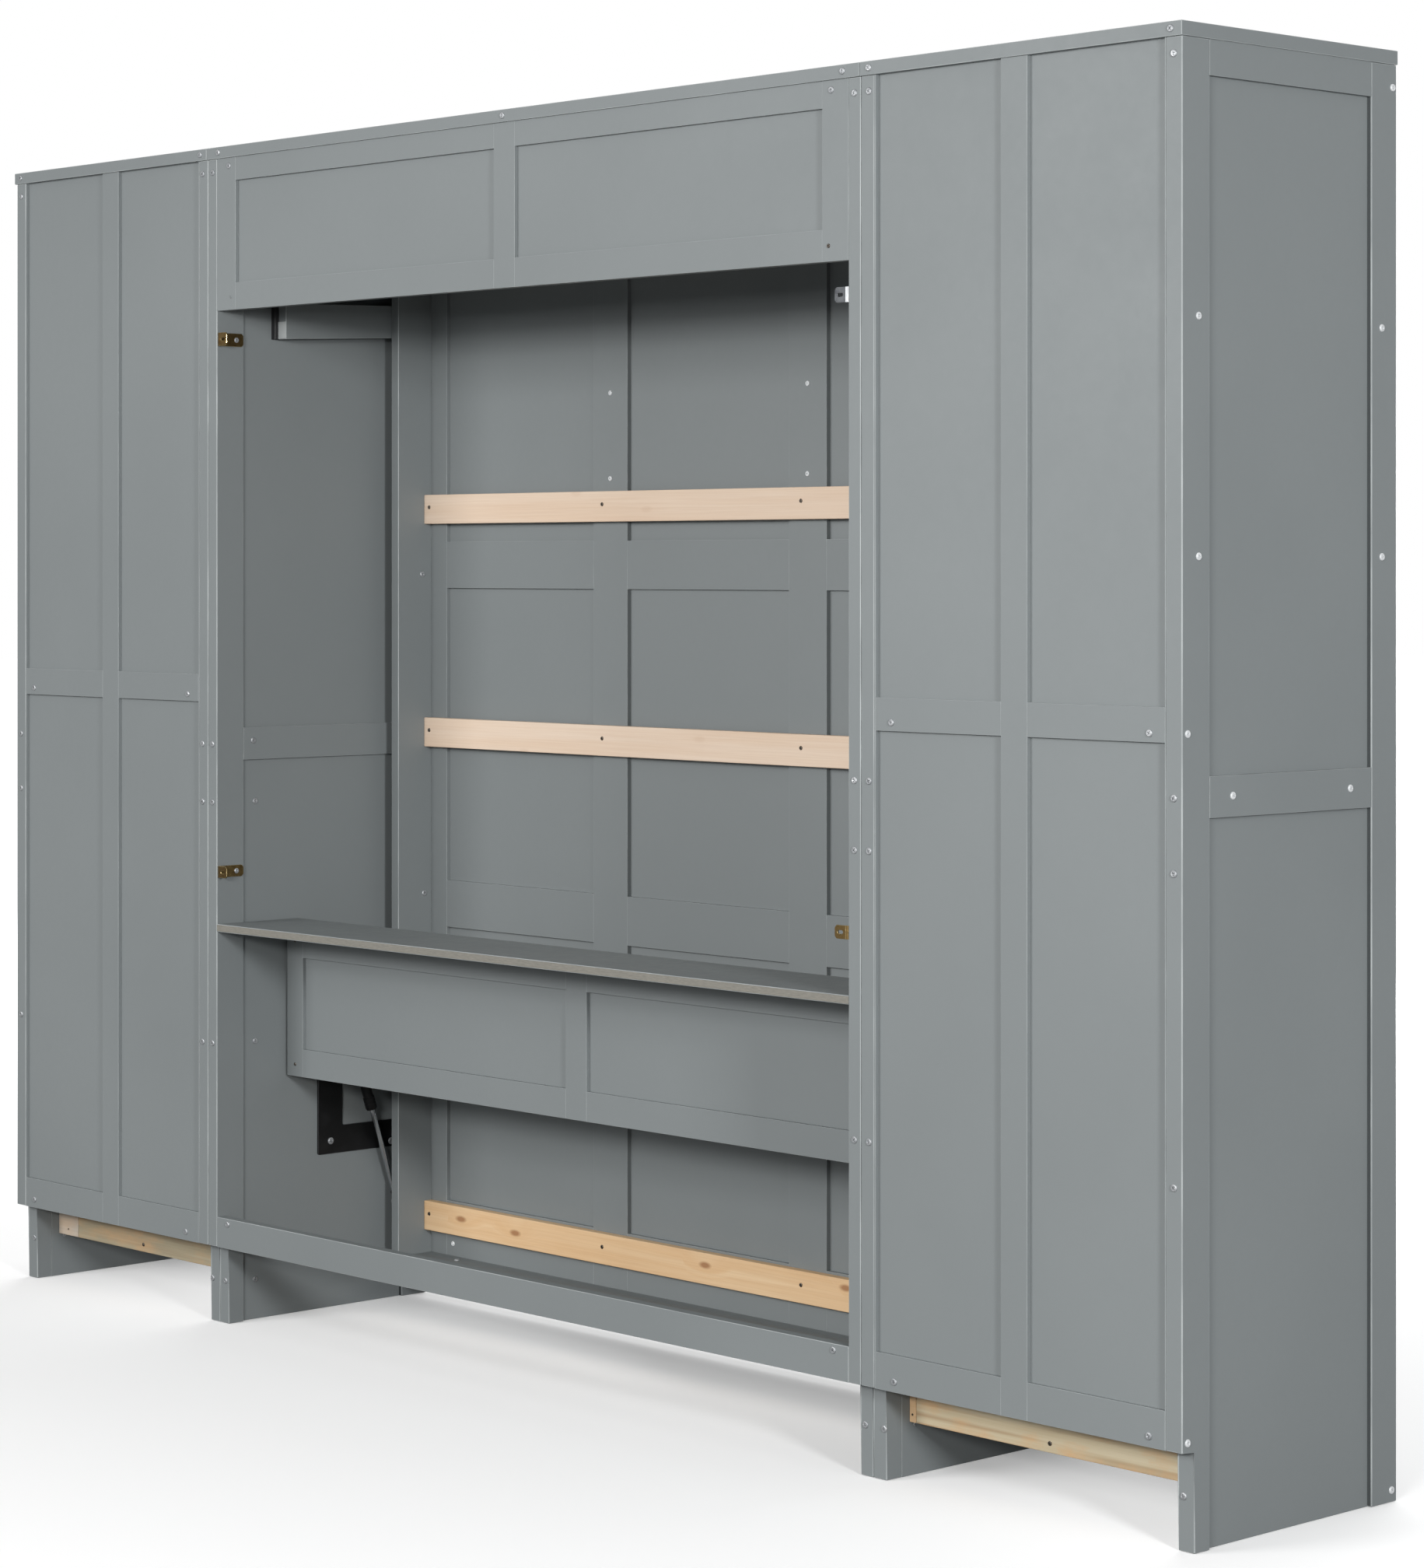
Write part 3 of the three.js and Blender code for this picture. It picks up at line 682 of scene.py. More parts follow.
def build_headboard_shelf():
    """Painted shelf with a raw rear edge."""
    low, high = span("headboard_shelf")
    x, z = (low[0], high[0]), (low[2], high[2])
    joint = high[1] - RAW_STRIP
    raw_z = (z[0] + RAW_INSET, z[1] - RAW_INSET)
    boards("headboard_shelf_board", [(x, (low[1], joint), z)], "cabinet", PAINT, ("headboard_shelf",))
    boards("headboard_shelf_raw_edge", [(x, (joint, high[1]), raw_z)], "cabinet", RAW, ease=0.0002)


# ---------- framed panels that face the wall ----------
def sunk_panel(name, node, columns, rows, recess, body="cabinet", front_recess=0.0):
    """A frame of stiles and rails round sunk fields. columns and rows are the fields' X and Z ranges."""
    low, high = span(node)
    y0, y1 = low[1], high[1]
    whole_x, whole_z = (low[0], high[0]), (low[2], high[2])
    bm = new_mesh()
    for x in columns:
        for z in rows:
            add_board(bm, widened(x, TONGUE), (y0 + front_recess, y1 - recess), widened(z, TONGUE),
                      ease=0.0002, segments=1)
    for x in gaps(whole_x, columns):
        add_board(bm, x, (y0, y1), whole_z, ease=0.0004)
    for z in gaps(whole_z, rows):
        for x in columns:
            add_board(bm, x, (y0, y1), z, ease=0.0003)
    return add_piece(name, bm, PAINT, body, (node,))


TONGUE = 0.0005  # how far a sunk field reaches into the boards round it
HEADER_FIELDS = [(-0.758, -0.027), (0.027, 0.758)]
HEADBOARD_FIELDS = [(-0.768, -0.027), (0.027, 0.768)]
BED_COLUMNS = [(-0.720, -0.300), (-0.208, 0.208), (0.300, 0.720)]
BED_ROWS = [(0.190, 0.706), (0.794, 1.345), (1.432, 1.985)]
BACK_COLUMNS = [(0.873, 1.130), (1.182, 1.443)]
BACK_ROWS = [(0.200, 1.138), (1.188, 2.129)]
HEADER_ROWS = [(1.901, 2.087)]
HEADBOARD_ROWS = [(0.495, 0.664)]


def build_rear_panels():
    sunk_panel("rear_header_boards", "rear_header", HEADER_FIELDS, HEADER_ROWS, BACK_RECESS)
    sunk_panel("headboard_boards", "headboard_panel", HEADBOARD_FIELDS, HEADBOARD_ROWS, BACK_RECESS)
    sunk_panel("bed_front_boards", "bed_front_panel", BED_COLUMNS, BED_ROWS, SIDE_RECESS, "bed",
               front_recess=SIDE_RECESS)
    for word, sign in SIDES:
        columns = [side_x(sign, *x) for x in BACK_COLUMNS]
        node = f"{word}_tower_back"
        sunk_panel(node + "_boards", node, columns, BACK_ROWS, BACK_RECESS)


# ---------- plates and profiles ----------
def arc(centre, radius, start, end, steps=6):
    """Points on a circular arc, angles in degrees."""
    angles = [math.radians(start + (end - start) * i / steps) for i in range(steps + 1)]
    return [(centre[0] + radius * math.cos(a), centre[1] + radius * math.sin(a)) for a in angles]


def neighbours(outline):
    """The points of a closed outline, each between the one before it and the one after it."""
    return zip(outline[-1:] + outline[:-1], outline, outline[1:] + outline[:1])


def rounded(outline, radius, steps=5):
    """Rounds every corner of a polygon of (u, v) points."""
    result = []
    for before, corner, after in neighbours(outline):
        corner = Vector(corner)
        before = (Vector(before) - corner).normalized()
        after = (Vector(after) - corner).normalized()
        half = before.angle(after) / 2
        centre = corner + (before + after).normalized() * radius / math.sin(half)
        start = corner + before * radius / math.tan(half) - centre
        turn = start.angle_signed(corner + after * radius / math.tan(half) - centre)
        for k in range(steps + 1):
            a = -turn * k / steps
            result.append((centre.x + start.x * math.cos(a) - start.y * math.sin(a),
                           centre.y + start.x * math.sin(a) + start.y * math.cos(a)))
    return result


def circle(centre, radius, steps=20):
    return arc(centre, radius, 0, 360 - 360 / steps, steps - 1)


def grown(outline, distance):
    """Moves a closed outline outwards by distance, seen from its own inside."""
    area = sum(a[0] * b[1] - b[0] * a[1] for a, b in pairs(outline))
    side = 1 if area > 0 else -1
    result = []
    for before, point, after in neighbours(outline):
        into = (Vector(point) - Vector(before)).normalized()
        out = (Vector(after) - Vector(point)).normalized()
        normal = Vector((into.y + out.y, -into.x - out.x)).normalized()
        widen = 1 / max(0.4, normal.dot(Vector((out.y, -out.x))))
        result.append(tuple(Vector(point) + normal * distance * side * widen))
    return result


def add_plate(bm, outline, thick, place, holes=(), ease=0.0004, wear_and_highlight=0.0):
    """A flat plate with real holes and chamfered rims; outline lies in the matrix's local X-Y plane."""
    layer = edge_layer(bm)
    levels = ((0.0, ease), (ease, 0.0), (thick - ease, 0.0), (thick, ease))
    rims = ([], [])
    for loop, sign in [(outline, -1)] + [(hole, 1) for hole in holes]:
        rings = [[bm.verts.new(place @ Vector((u, v, height))) for u, v in grown(loop, sign * inset)]
                 for height, inset in levels]
        for level, (lower, upper) in enumerate(zip(rings, rings[1:])):
            for (a, b), (c, d) in zip(pairs(lower), pairs(upper)):
                face = bm.faces.new((a, b, d, c))
                face[layer] = wear_and_highlight if level == 1 else 1.0
        for rim, end in zip(rims, (rings[0], rings[-1])):
            rim.extend(bm.edges.get(pair) for pair in pairs(end))
    for rim in rims:
        bmesh.ops.triangle_fill(bm, edges=rim, use_beauty=True)
    return bm


X_PLANE = Matrix(((0, 0, 1, 0), (1, 0, 0, 0), (0, 1, 0, 0), (0, 0, 0, 1)))
Y_PLANE = Matrix(((1, 0, 0, 0), (0, 0, -1, 0), (0, 1, 0, 0), (0, 0, 0, 1)))


def along_x(x):
    """Local X, Y, Z of the matrix are world Y, Z, X, starting at x."""
    return Matrix.Translation((x, 0, 0)) @ X_PLANE


def along_z(z):
    return Matrix.Translation((0, 0, z))


def facing_wall(y):
    """Local X, Y, Z of the matrix are world X, Z, -Y, starting at y."""
    return Matrix.Translation((0, y, 0)) @ Y_PLANE


# ---------- bed frame and slats ----------
RAIL_INNER, RAIL_OUTER = RAIL[0][0], RAIL[1][0]
BED_BACK = PANEL[1][1]
SLATS = range(1, 6)
SLAT_SCREWS = (-0.750, -0.256, 0.256, 0.750)
WARM_SLATS = (1,)


def build_slats():
    places = []
    for number in SLATS:
        node = f"bed_slat_{number}"
        low, high = span(node)
        material = PINE_WARM if number in WARM_SLATS else PINE_PALE
        board_from_node(node, "bed", 0.0014, material)
        places += [(x, high[1], (low[2] + high[2]) / 2 + 0.004) for x in SLAT_SCREWS]
    screws("slat_screws", places, (0, 1, 0), "bed", 0.0036, SLAT_STEEL)


BUSH = [(0.0088, 0.0004), (0.0088, 0.0030), (0.0125, 0.0030), (0.0135, 0.0022), (0.0200, 0.0018),
        (0.0205, 0.0012), (0.0205, -0.0004), (0.0088, -0.0004)]  # radius and height round the pivot


def build_rails():
    for word, sign in SIDES:
        board_from_node(f"bed_rail_{word}", "bed", 0.0012)
        bm = new_mesh()
        lathe(bm, BUSH, aim((sign * RAIL_OUTER, PIVOT.y, PIVOT.z), (sign, 0, 0)), 40)
        add_piece(f"pivot_bush_{word}", bm, ZINC, "bed", smooth=True)


STRUT_PLATE = {"half_width": 0.020, "half_height": 0.034, "thick": 0.0025, "corner": 0.006, "gap": 0.0001}
STRUT_PLATE_SCREWS = (-0.024, 0.024)


def rectangle(centre, half_width, half_height):
    """Corners of an upright rectangle, from its lower left one."""
    u, v = centre
    return [(u - half_width, v - half_height), (u + half_width, v - half_height),
            (u + half_width, v + half_height), (u - half_width, v + half_height)]


def build_strut_brackets():
    """The plate on each bed rail that the strut's lower pin is screwed to."""
    foot = strut_point(STRUT_LENGTH)
    size = STRUT_PLATE
    outline = rounded(rectangle((foot.y, foot.z), size["half_width"], size["half_height"]), size["corner"])
    near = RAIL_OUTER + size["gap"]
    far = near + size["thick"]
    for word, sign in SIDES:
        holes = [circle((foot.y, foot.z + rise), 0.0026) for rise in STRUT_PLATE_SCREWS]
        bm = bmesh.new()
        add_plate(bm, outline, size["thick"], along_x(side_x(sign, near, far)[0]), holes)
        add_piece(f"strut_bracket_{word}", bm, COAT, "bed")
        places = [(sign * far, foot.y, foot.z + rise) for rise in STRUT_PLATE_SCREWS]
        screws(f"strut_bracket_screws_{word}", places, (sign, 0, 0), "bed", 0.0042)


HANDLE_FOOT = [(0, 0), (0.0085, 0), (0.0085, 0.0012), (0.0078, 0.0018), (0, 0.0018)]
HANDLE_BAR = 0.010
TOWER_HANDLE = 0.128  # between the middles of its posts
UPRIGHT = Matrix(((0, 1, 0, 0), (0, 0, -1, 0), (1, 0, 0, 0), (0, 0, 0, 1)))


def add_handle(bm, centres, place):
    """A bow handle with rounded bar and a flange under each post; local X runs along it, Z stands out."""
    reach, bar, width, corner, inner = 0.030, HANDLE_BAR, 0.012, 0.007, 0.004
    half = centres / 2 + bar / 2
    outline = [(-half, 0.0), (-half, reach - corner)]
    outline += arc((-half + corner, reach - corner), corner, 180, 90)[1:]
    outline += arc((half - corner, reach - corner), corner, 90, 0)
    outline += [(half, 0.0), (half - bar, 0.0)]
    outline += arc((half - bar - inner, reach - bar - inner), inner, 0, 90)
    outline += arc((-half + bar + inner, reach - bar - inner), inner, 90, 180)
    outline += [(-half + bar, 0.0)]
    lying = Matrix.Translation((0, width / 2, 0)) @ Matrix.Rotation(math.radians(90), 4, "X")
    add_plate(bm, list(reversed(outline)), width, place @ lying, ease=0.0016)
    for end in (-1, 1):
        seat = place @ Matrix.Translation((end * centres / 2, 0, 0))
        lathe(bm, HANDLE_FOOT, seat)
    return bm


def build_handles():
    bed_handle = span("bed_handle_right")
    bed_centres = bed_handle[1][2] - bed_handle[0][2] - HANDLE_BAR
    for word, _ in SIDES:
        rows = ((f"bed_handle_{word}", "bed", UPRIGHT, bed_centres),
                (f"{word}_tower_door_handle", f"{word}_door", UPRIGHT, TOWER_HANDLE),
                (f"{word}_tower_drawer_handle", f"{word}_drawer", Y_PLANE, TOWER_HANDLE))
        for node, body, turn, centres in rows:
            low, high = span(node)
            base = Vector(((low[0] + high[0]) / 2, high[1], (low[2] + high[2]) / 2))
            bm = bmesh.new()
            add_handle(bm, centres, Matrix.Translation(base) @ turn)
            add_piece(node + "_bow", bm, NICKEL, body, (node,), smooth=True)


LEG_BAR = 0.020
LEG_OUTER = 0.600
LEG_PAD = 0.002
LEG_PIN_END = 0.6125
LEG_PIN = [(0, 0), (0.0085, 0), (0.0085, 0.0035), (0.005, 0.0045), (0.005, 0.0200), (0.0044, 0.0205),
           (0, 0.0205)]
LEG_EAR = {"x": (0.6030, 0.6060), "reach": 0.0215, "root": 0.0002, "half_root": 0.016, "half_tip": 0.013}
LEG_SEAT = {"x": (0.6062, 0.6400), "thick": 0.0030, "screw_x": 0.628, "screw_rise": 0.009}


def build_leg_frame():
    """A U of square tube with plastic foot pads and a pin at each end."""
    low, high = span("bed_leg_frame")
    hinge = Vector(JOINTS["leg_swing"]["pos_m"])
    y = (hinge.y - LEG_BAR / 2, hinge.y + LEG_BAR / 2)
    foot_z = (low[2] + LEG_PAD, low[2] + LEG_BAR)
    tube = [((-LEG_OUTER, LEG_OUTER), y, foot_z)]
    tube += [(side_x(sign, LEG_OUTER - LEG_BAR, LEG_OUTER), y, (foot_z[1], high[2])) for _, sign in SIDES]
    boards("leg_tube", tube, "leg_frame", COAT, ("bed_leg_frame",), 0.0022)
    pads = [(side_x(sign, LEG_OUTER - 0.090, LEG_OUTER - 0.004), widened(y, -0.002),
             (low[2], low[2] + 2 * LEG_PAD)) for _, sign in SIDES]
    boards("leg_foot_pads", pads, "leg_frame", PLASTIC, ease=0.0006)
    pins = bmesh.new()
    for _, sign in SIDES:
        lathe(pins, LEG_PIN, aim((sign * LEG_PIN_END, hinge.y, hinge.z), (-sign, 0, 0)), 28)
    add_piece("leg_pins", pins, ZINC, "leg_frame", smooth=True)
    build_leg_brackets(hinge)


def build_leg_brackets(hinge):
    """An ear for each pin of the leg frame, on a seat that is screwed to the bed's front."""
    front = PANEL[0][1]
    tip, root = front - LEG_EAR["reach"], front - LEG_EAR["root"]
    half_tip, half_root = LEG_EAR["half_tip"], LEG_EAR["half_root"]
    ear = rounded([(tip, hinge.z - half_tip), (root, hinge.z - half_root), (root, hinge.z + half_root),
                   (tip, hinge.z + half_tip)], 0.003)
    seat_y = (front - LEG_SEAT["thick"], front)
    seat_z = (hinge.z - half_root, hinge.z + half_root)
    thick = LEG_EAR["x"][1] - LEG_EAR["x"][0]
    for word, sign in SIDES:
        bm = bmesh.new()
        start = side_x(sign, *LEG_EAR["x"])[0]
        add_plate(bm, ear, thick, along_x(start), [circle((hinge.y, hinge.z), 0.0056)])
        add_board(bm, side_x(sign, *LEG_SEAT["x"]), seat_y, seat_z, 0.0008)
        add_piece(f"leg_bracket_{word}", bm, COAT, "bed")
        places = [(sign * LEG_SEAT["screw_x"], seat_y[0], hinge.z + turn * LEG_SEAT["screw_rise"])
                  for turn in (-1, 1)]
        screws(f"leg_bracket_screws_{word}", places, (0, -1, 0), "bed", 0.0038)


# ---------- fold mechanism ----------
PLATE = span("mechanism_plate_right")
PLATE_BACK = INNER + SIDE_RECESS
PLATE_THICK = 0.004
PLATE_FACE = PLATE_BACK - PLATE_THICK
STRUT_LENGTH = 0.48036
TUBE_END = 0.290


def strut_point(distance, sign=1):
    """A point on a strut's axis, measured down from its upper pin."""
    at = STRUT_TOP - STRUT_UP * distance
    return Vector((sign * abs(STRUT_TOP.x), at.y, at.z))


PLATE_LEG = 0.057
PLATE_FOOT = 0.051
PIVOT_STUB = [(0, 0), (0.0150, 0), (0.0150, 0.0040), (0.0140, 0.0050), (0.0080, 0.0052), (0.0080, 0.0455),
              (0.0070, 0.0465), (0, 0.0465)]
STRUT_STUB = [(0, 0), (0.0085, 0), (0.0085, 0.0060), (0.0040, 0.0065), (0.0040, 0.0255), (0.0034, 0.0260),
              (0, 0.0260)]


def build_mechanism_plates():
    """The L-shaped steel plates with the studs that the bed and the struts turn on."""
    _, low_y, low_z = PLATE[0]
    _, high_y, high_z = PLATE[1]
    leg_front, foot_top = high_y - PLATE_LEG, low_z + PLATE_FOOT
    outline = rounded([(high_y, low_z), (high_y, high_z), (leg_front, high_z), (leg_front, foot_top),
                       (low_y, foot_top), (low_y, low_z)], 0.0035)
    middle = (leg_front + high_y) / 2
    bolts = [(middle, low_z + 0.024), (middle, low_z + 0.230), (middle, high_z - 0.070),
             (low_y + 0.022, low_z + 0.010)]
    for word, sign in SIDES:
        inward = (-sign, 0, 0)
        face = sign * PLATE_FACE
        node = f"mechanism_plate_{word}"
        bm = bmesh.new()
        add_plate(bm, outline, PLATE_THICK, along_x(side_x(sign, PLATE_FACE, PLATE_BACK)[0]), ease=0.0006)
        lathe(bm, PIVOT_STUB, aim((face, PIVOT.y, PIVOT.z), inward), 40)
        lathe(bm, STRUT_STUB, aim((face, STRUT_TOP.y, STRUT_TOP.z), inward))
        soften(add_piece(node + "_steel", bm, COAT, "cabinet", (node,)), 30)
        screws(f"mechanism_bolts_{word}", [(face, y, z) for y, z in bolts], inward, "cabinet", 0.0066)


def soften(piece, degrees=35):
    """Smooth shading that stays crisp at corners sharper than the angle."""
    mesh = piece.data
    mesh.polygons.foreach_set("use_smooth", [True] * len(mesh.polygons))
    mesh.set_sharp_from_angle(angle=math.radians(degrees))


STRUT_TUBE = [(0, 0.009), (0.0070, 0.009), (0.0090, 0.0110), (0.0098, 0.0150), (0.0098, 0.2650),
              (0.0110, 0.2662), (0.0110, 0.2750), (0.0104, 0.2757), (0.0104, 0.2775), (0.0110, 0.2782),
              (0.0110, 0.2875), (0.0098, TUBE_END), (0.0056, TUBE_END), (0.0056, TUBE_END - 0.02),
              (0, TUBE_END - 0.02)]
ROD_END = STRUT_LENGTH - 0.0220
STRUT_ROD = [(0, 0.1920), (0.0046, 0.1920), (0.0050, 0.1930), (0.0050, ROD_END), (0, ROD_END)]
STRUT_FITTING = [(0, -0.0230), (0.0062, -0.0230), (0.0074, -0.0215), (0.0074, -0.0110), (0.0052, -0.0060),
                 (0, -0.0060)]  # heights from the lower pin
PIN_REACH = abs(STRUT_TOP.x) - RAIL_OUTER - 0.0028
STRUT_PIN = [(0, -PIN_REACH), (0.0046, -PIN_REACH), (0.0046, 0.0050), (0.0078, 0.0052), (0.0078, 0.0080),
             (0.0066, 0.0092), (0, 0.0092)]


def build_struts():
    """Gas struts: a tube on the cabinet's side and a rod with a plastic end on the bed's side."""
    turn = (-STRUT_UP).to_track_quat("Z", "X").to_matrix().to_4x4()
    for word, sign in SIDES:
        down = Matrix.Translation(strut_point(0, sign)) @ turn
        foot = strut_point(STRUT_LENGTH, sign)
        on_tube, on_rod = f"{word}_strut_tube", f"{word}_strut_rod"
        tube = lathe(bmesh.new(), STRUT_TUBE, down, 40)
        add_eye(tube, down, 0.0, 0.0092, 0.0048, 0.0100)
        soften(add_piece(f"strut_tube_{word}_body", tube, COAT, on_tube, (f"strut_tube_{word}",)))
        rod = lathe(bmesh.new(), STRUT_ROD, down, 36)
        soften(add_piece(f"strut_rod_{word}_body", rod, ROD, on_rod, (f"strut_rod_{word}",)))
        fitting = lathe(bmesh.new(), STRUT_FITTING, down @ along_z(STRUT_LENGTH))
        add_eye(fitting, down, STRUT_LENGTH, 0.0085, 0.0048, 0.0080)
        soften(add_piece(f"strut_end_{word}", fitting, PLASTIC, on_rod))
        pin = lathe(bmesh.new(), STRUT_PIN, aim(foot, (sign, 0, 0)), 28)
        soften(add_piece(f"strut_pin_{word}", pin, ZINC, on_rod))


EYE_EASE = 0.001


def add_eye(bm, along, distance, radius, hole, width):
    """A ring eye with its hole along world X, at a distance down a strut."""
    centre = along @ Vector((0, 0, distance))
    half = width / 2
    rim = radius - EYE_EASE
    shoulder = half - EYE_EASE
    profile = [(hole, -half), (rim, -half), (radius, -shoulder),
               (radius, shoulder), (rim, half), (hole, half)]
    lathe(bm, profile, aim(centre, (1, 0, 0)), closed=True)


# ---------- wall brackets ----------
BRACKET_THICK = 0.003
BRACKET_BEND = 0.006
BRACKET_CLIP = 0.004  # the corners cut off each flange's tip
BRACKET_HOLE = 0.0028
BRACKET_SCREW = 0.016  # from the side flange's tip
BRACKET_SLOT = 0.012  # from the wall flange's tip
SLOT_HALF = 0.003


def flange(tip, root, z0, z1):
    """An upright flange whose tip has clipped corners; tip and root are across, z0 and z1 up."""
    shoulder = tip + math.copysign(BRACKET_CLIP, root - tip)
    return [(shoulder, z0), (root, z0), (root, z1), (shoulder, z1), (tip, z1 - BRACKET_CLIP),
            (tip, z0 + BRACKET_CLIP)]


def build_wall_brackets():
    for level in ("upper", "lower"):
        for word, sign in SIDES:
            build_wall_bracket(f"wall_bracket_{level}_{word}", sign, level == "upper" and word == "left")


def build_wall_bracket(node, sign, grey):
    """Strip steel bent to an angle: a slot in the wall flange, a screw in the side flange."""
    low, high = span(node)
    z0, z1 = low[2], high[2]
    mid_z = (z0 + z1) / 2
    wall_face, tip_y = high[1], low[1]
    tip_x = sign * (INNER - (high[0] - low[0]))
    bend = (sign * (INNER - BRACKET_BEND), wall_face - BRACKET_BEND)
    bm = bmesh.new()
    screw_y = tip_y + BRACKET_SCREW
    side_start = side_x(sign, INNER - BRACKET_THICK, INNER)[0]
    add_plate(bm, flange(tip_y, bend[1], z0, z1), BRACKET_THICK, along_x(side_start),
              [circle((screw_y, mid_z), BRACKET_HOLE)])
    slot_x = tip_x + sign * BRACKET_SLOT
    slot = arc((slot_x - SLOT_HALF, mid_z), BRACKET_HOLE, 90, 270)
    slot += arc((slot_x + SLOT_HALF, mid_z), BRACKET_HOLE, -90, 90)
    add_plate(bm, flange(tip_x, bend[0], z0, z1), BRACKET_THICK, facing_wall(wall_face), [slot])
    start = 90 - 90 * sign
    inner = arc(bend, BRACKET_BEND - BRACKET_THICK, start, 90)
    corner = arc(bend, BRACKET_BEND, start, 90) + list(reversed(inner))
    # On the grey bracket the whole bend takes the edge colour: a painted highlight.
    add_plate(bm, corner, z1 - z0, along_z(z0), ease=0.0002, wear_and_highlight=1.0 if grey else 0.0)
    add_piece(node + "_strip", bm, GREY_ZINC if grey else YELLOW, "cabinet", (node,))
    seat = (sign * (INNER - BRACKET_THICK), screw_y, mid_z)
    screws(node + "_screw", [seat], (-sign, 0, 0), "cabinet", 0.0050)


# ---------- tower fronts ----------
FRONT_THICK = 0.018
FRONT_GAP = 0.003
FRONT_TONGUE = 0.0003


def sunk_front(name, node, width, depth, body, x):
    """A shaker front: four members of one width round a field sunk from the room side."""
    low, high = span(node)
    y = (low[1], low[1] + FRONT_THICK)
    z = (low[2], high[2])
    inner_x, inner_z = widened(x, -width), widened(z, -width)
    bm = new_mesh()
    for part in gaps(x, [inner_x]):
        add_board(bm, part, y, z, 0.0012)
    for part in gaps(z, [inner_z]):
        add_board(bm, inner_x, y, part, 0.0008)
    add_board(bm, widened(inner_x, FRONT_TONGUE), (y[0] + depth, y[1]), widened(inner_z, FRONT_TONGUE),
              0.0002)
    return add_piece(name, bm, PAINT, body, (node,))


def build_tower_fronts():
    near, far = TOWER_SIDE[1][0], OUTER_SIDE[0][0]
    for word, sign in SIDES:
        door, drawer = f"{word}_tower_door", f"{word}_tower_drawer"
        x = side_x(sign, near + FRONT_GAP, far - FRONT_GAP)
        sunk_front(f"{word}_door_boards", door, 0.060, 0.006, f"{word}_door", x)
        sunk_front(f"{word}_drawer_front", drawer, 0.045, 0.005, f"{word}_drawer", x)
        build_drawer_box(word, sign, near, far, span(drawer))
        build_door_hinges(word, sign, span(door))


DRAWER_BOX_REAR = MID_Y + 0.200
DRAWER_WALL = 0.012
DRAWER_FLOOR = 0.006
RUNNER_GAP = 0.013
RUNNER_LIP = 0.0012
RUNNER_PARTS = (  # name, near and far distance from the wall, half height, end clearance
    ("outer", 0.0004, 0.0062, 0.0225, 0.004),
    ("inner", 0.0070, RUNNER_GAP - 0.0004, 0.0165, 0.002),
)


def build_drawer_box(word, sign, near, far, drawer):
    """A plywood box on two ball runners."""
    x = side_x(sign, near + RUNNER_GAP, far - RUNNER_GAP)
    y = (FRONT + FRONT_THICK, DRAWER_BOX_REAR)
    z = (drawer[0][2] + 0.012, drawer[1][2] - 0.030)
    inner_x, inner_y = widened(x, -DRAWER_WALL), widened(y, -DRAWER_WALL)
    front_wall, rear_wall = gaps(y, [inner_y])
    parts = [(part, y, z) for part in gaps(x, [inner_x])]
    parts += [(inner_x, rear_wall, z), (inner_x, front_wall, z)]
    parts += [(inner_x, inner_y, (z[0] + DRAWER_FLOOR, z[0] + DRAWER_WALL))]
    boards(f"{word}_drawer_box", parts, f"{word}_drawer", PLY, ease=0.0008)
    for number, (wall, inward) in enumerate(((near, 1), (far, -1)), 1):
        for part, start, end, half, clearance in RUNNER_PARTS:
            runner_x = side_x(sign, wall + inward * start, wall + inward * end)
            lip_first = (part == "outer") == (inward * sign > 0)
            body = "cabinet" if part == "outer" else f"{word}_drawer"
            build_runner(f"{word}_runner_{part}_{number}", body, runner_x, widened(y, -clearance),
                         sum(z) / 2, half, lip_first)


def build_runner(name, body, x, y, middle, half, web_first):
    """A C-shaped steel channel; its web is at the lower or the higher X."""
    low, high = middle - half, middle + half
    web = (x[0], x[0] + RUNNER_LIP) if web_first else (x[1] - RUNNER_LIP, x[1])
    parts = [(web, y, (low, high)), (x, y, (low, low + RUNNER_LIP)), (x, y, (high - RUNNER_LIP, high))]
    boards(name, parts, body, ZINC, ease=0.0003)


HINGE_LENGTH = 0.060
HINGE_RADIUS = 0.0030
HINGE_EASE = 0.0004
HINGE_INSET = 0.085
HINGE_PARTS = (  # name, side of the leaf, knuckles in thirds of the length from the middle
    ("fixed", 1, ((-1.5, -0.5), (0.5, 1.5))),
    ("moving", -1, ((-0.49, 0.49),)),
)


def build_door_hinges(word, sign, door):
    """Two butt hinges at the door's outer front edge, outer knuckles on the cabinet."""
    pin = Vector(JOINTS[f"{word}_door_swing"]["pos_m"])
    third = HINGE_LENGTH / 3
    slim = HINGE_RADIUS - HINGE_EASE
    for place, z in (("low", door[0][2] + HINGE_INSET), ("high", door[1][2] - HINGE_INSET)):
        for part, side, knuckles in HINGE_PARTS:
            bm = new_mesh()
            for a, b in knuckles:
                low, high = a * third, b * third
                profile = [(0, low), (slim, low), (HINGE_RADIUS, low + HINGE_EASE),
                           (HINGE_RADIUS, high - HINGE_EASE), (slim, high), (0, high)]
                lathe(bm, profile, Matrix.Translation((pin.x, pin.y, z)), 24)
            leaf = side_x(sign, abs(pin.x) + side * 0.0003, abs(pin.x) + side * 0.0013)
            add_board(bm, leaf, (pin.y + 0.0005, pin.y + 0.017), widened((z, z), HINGE_LENGTH / 2), 0.0002)
            body = "cabinet" if part == "fixed" else f"{word}_door"
            soften(add_piece(f"{word}_hinge_{part}_{place}", bm, NICKEL, body))


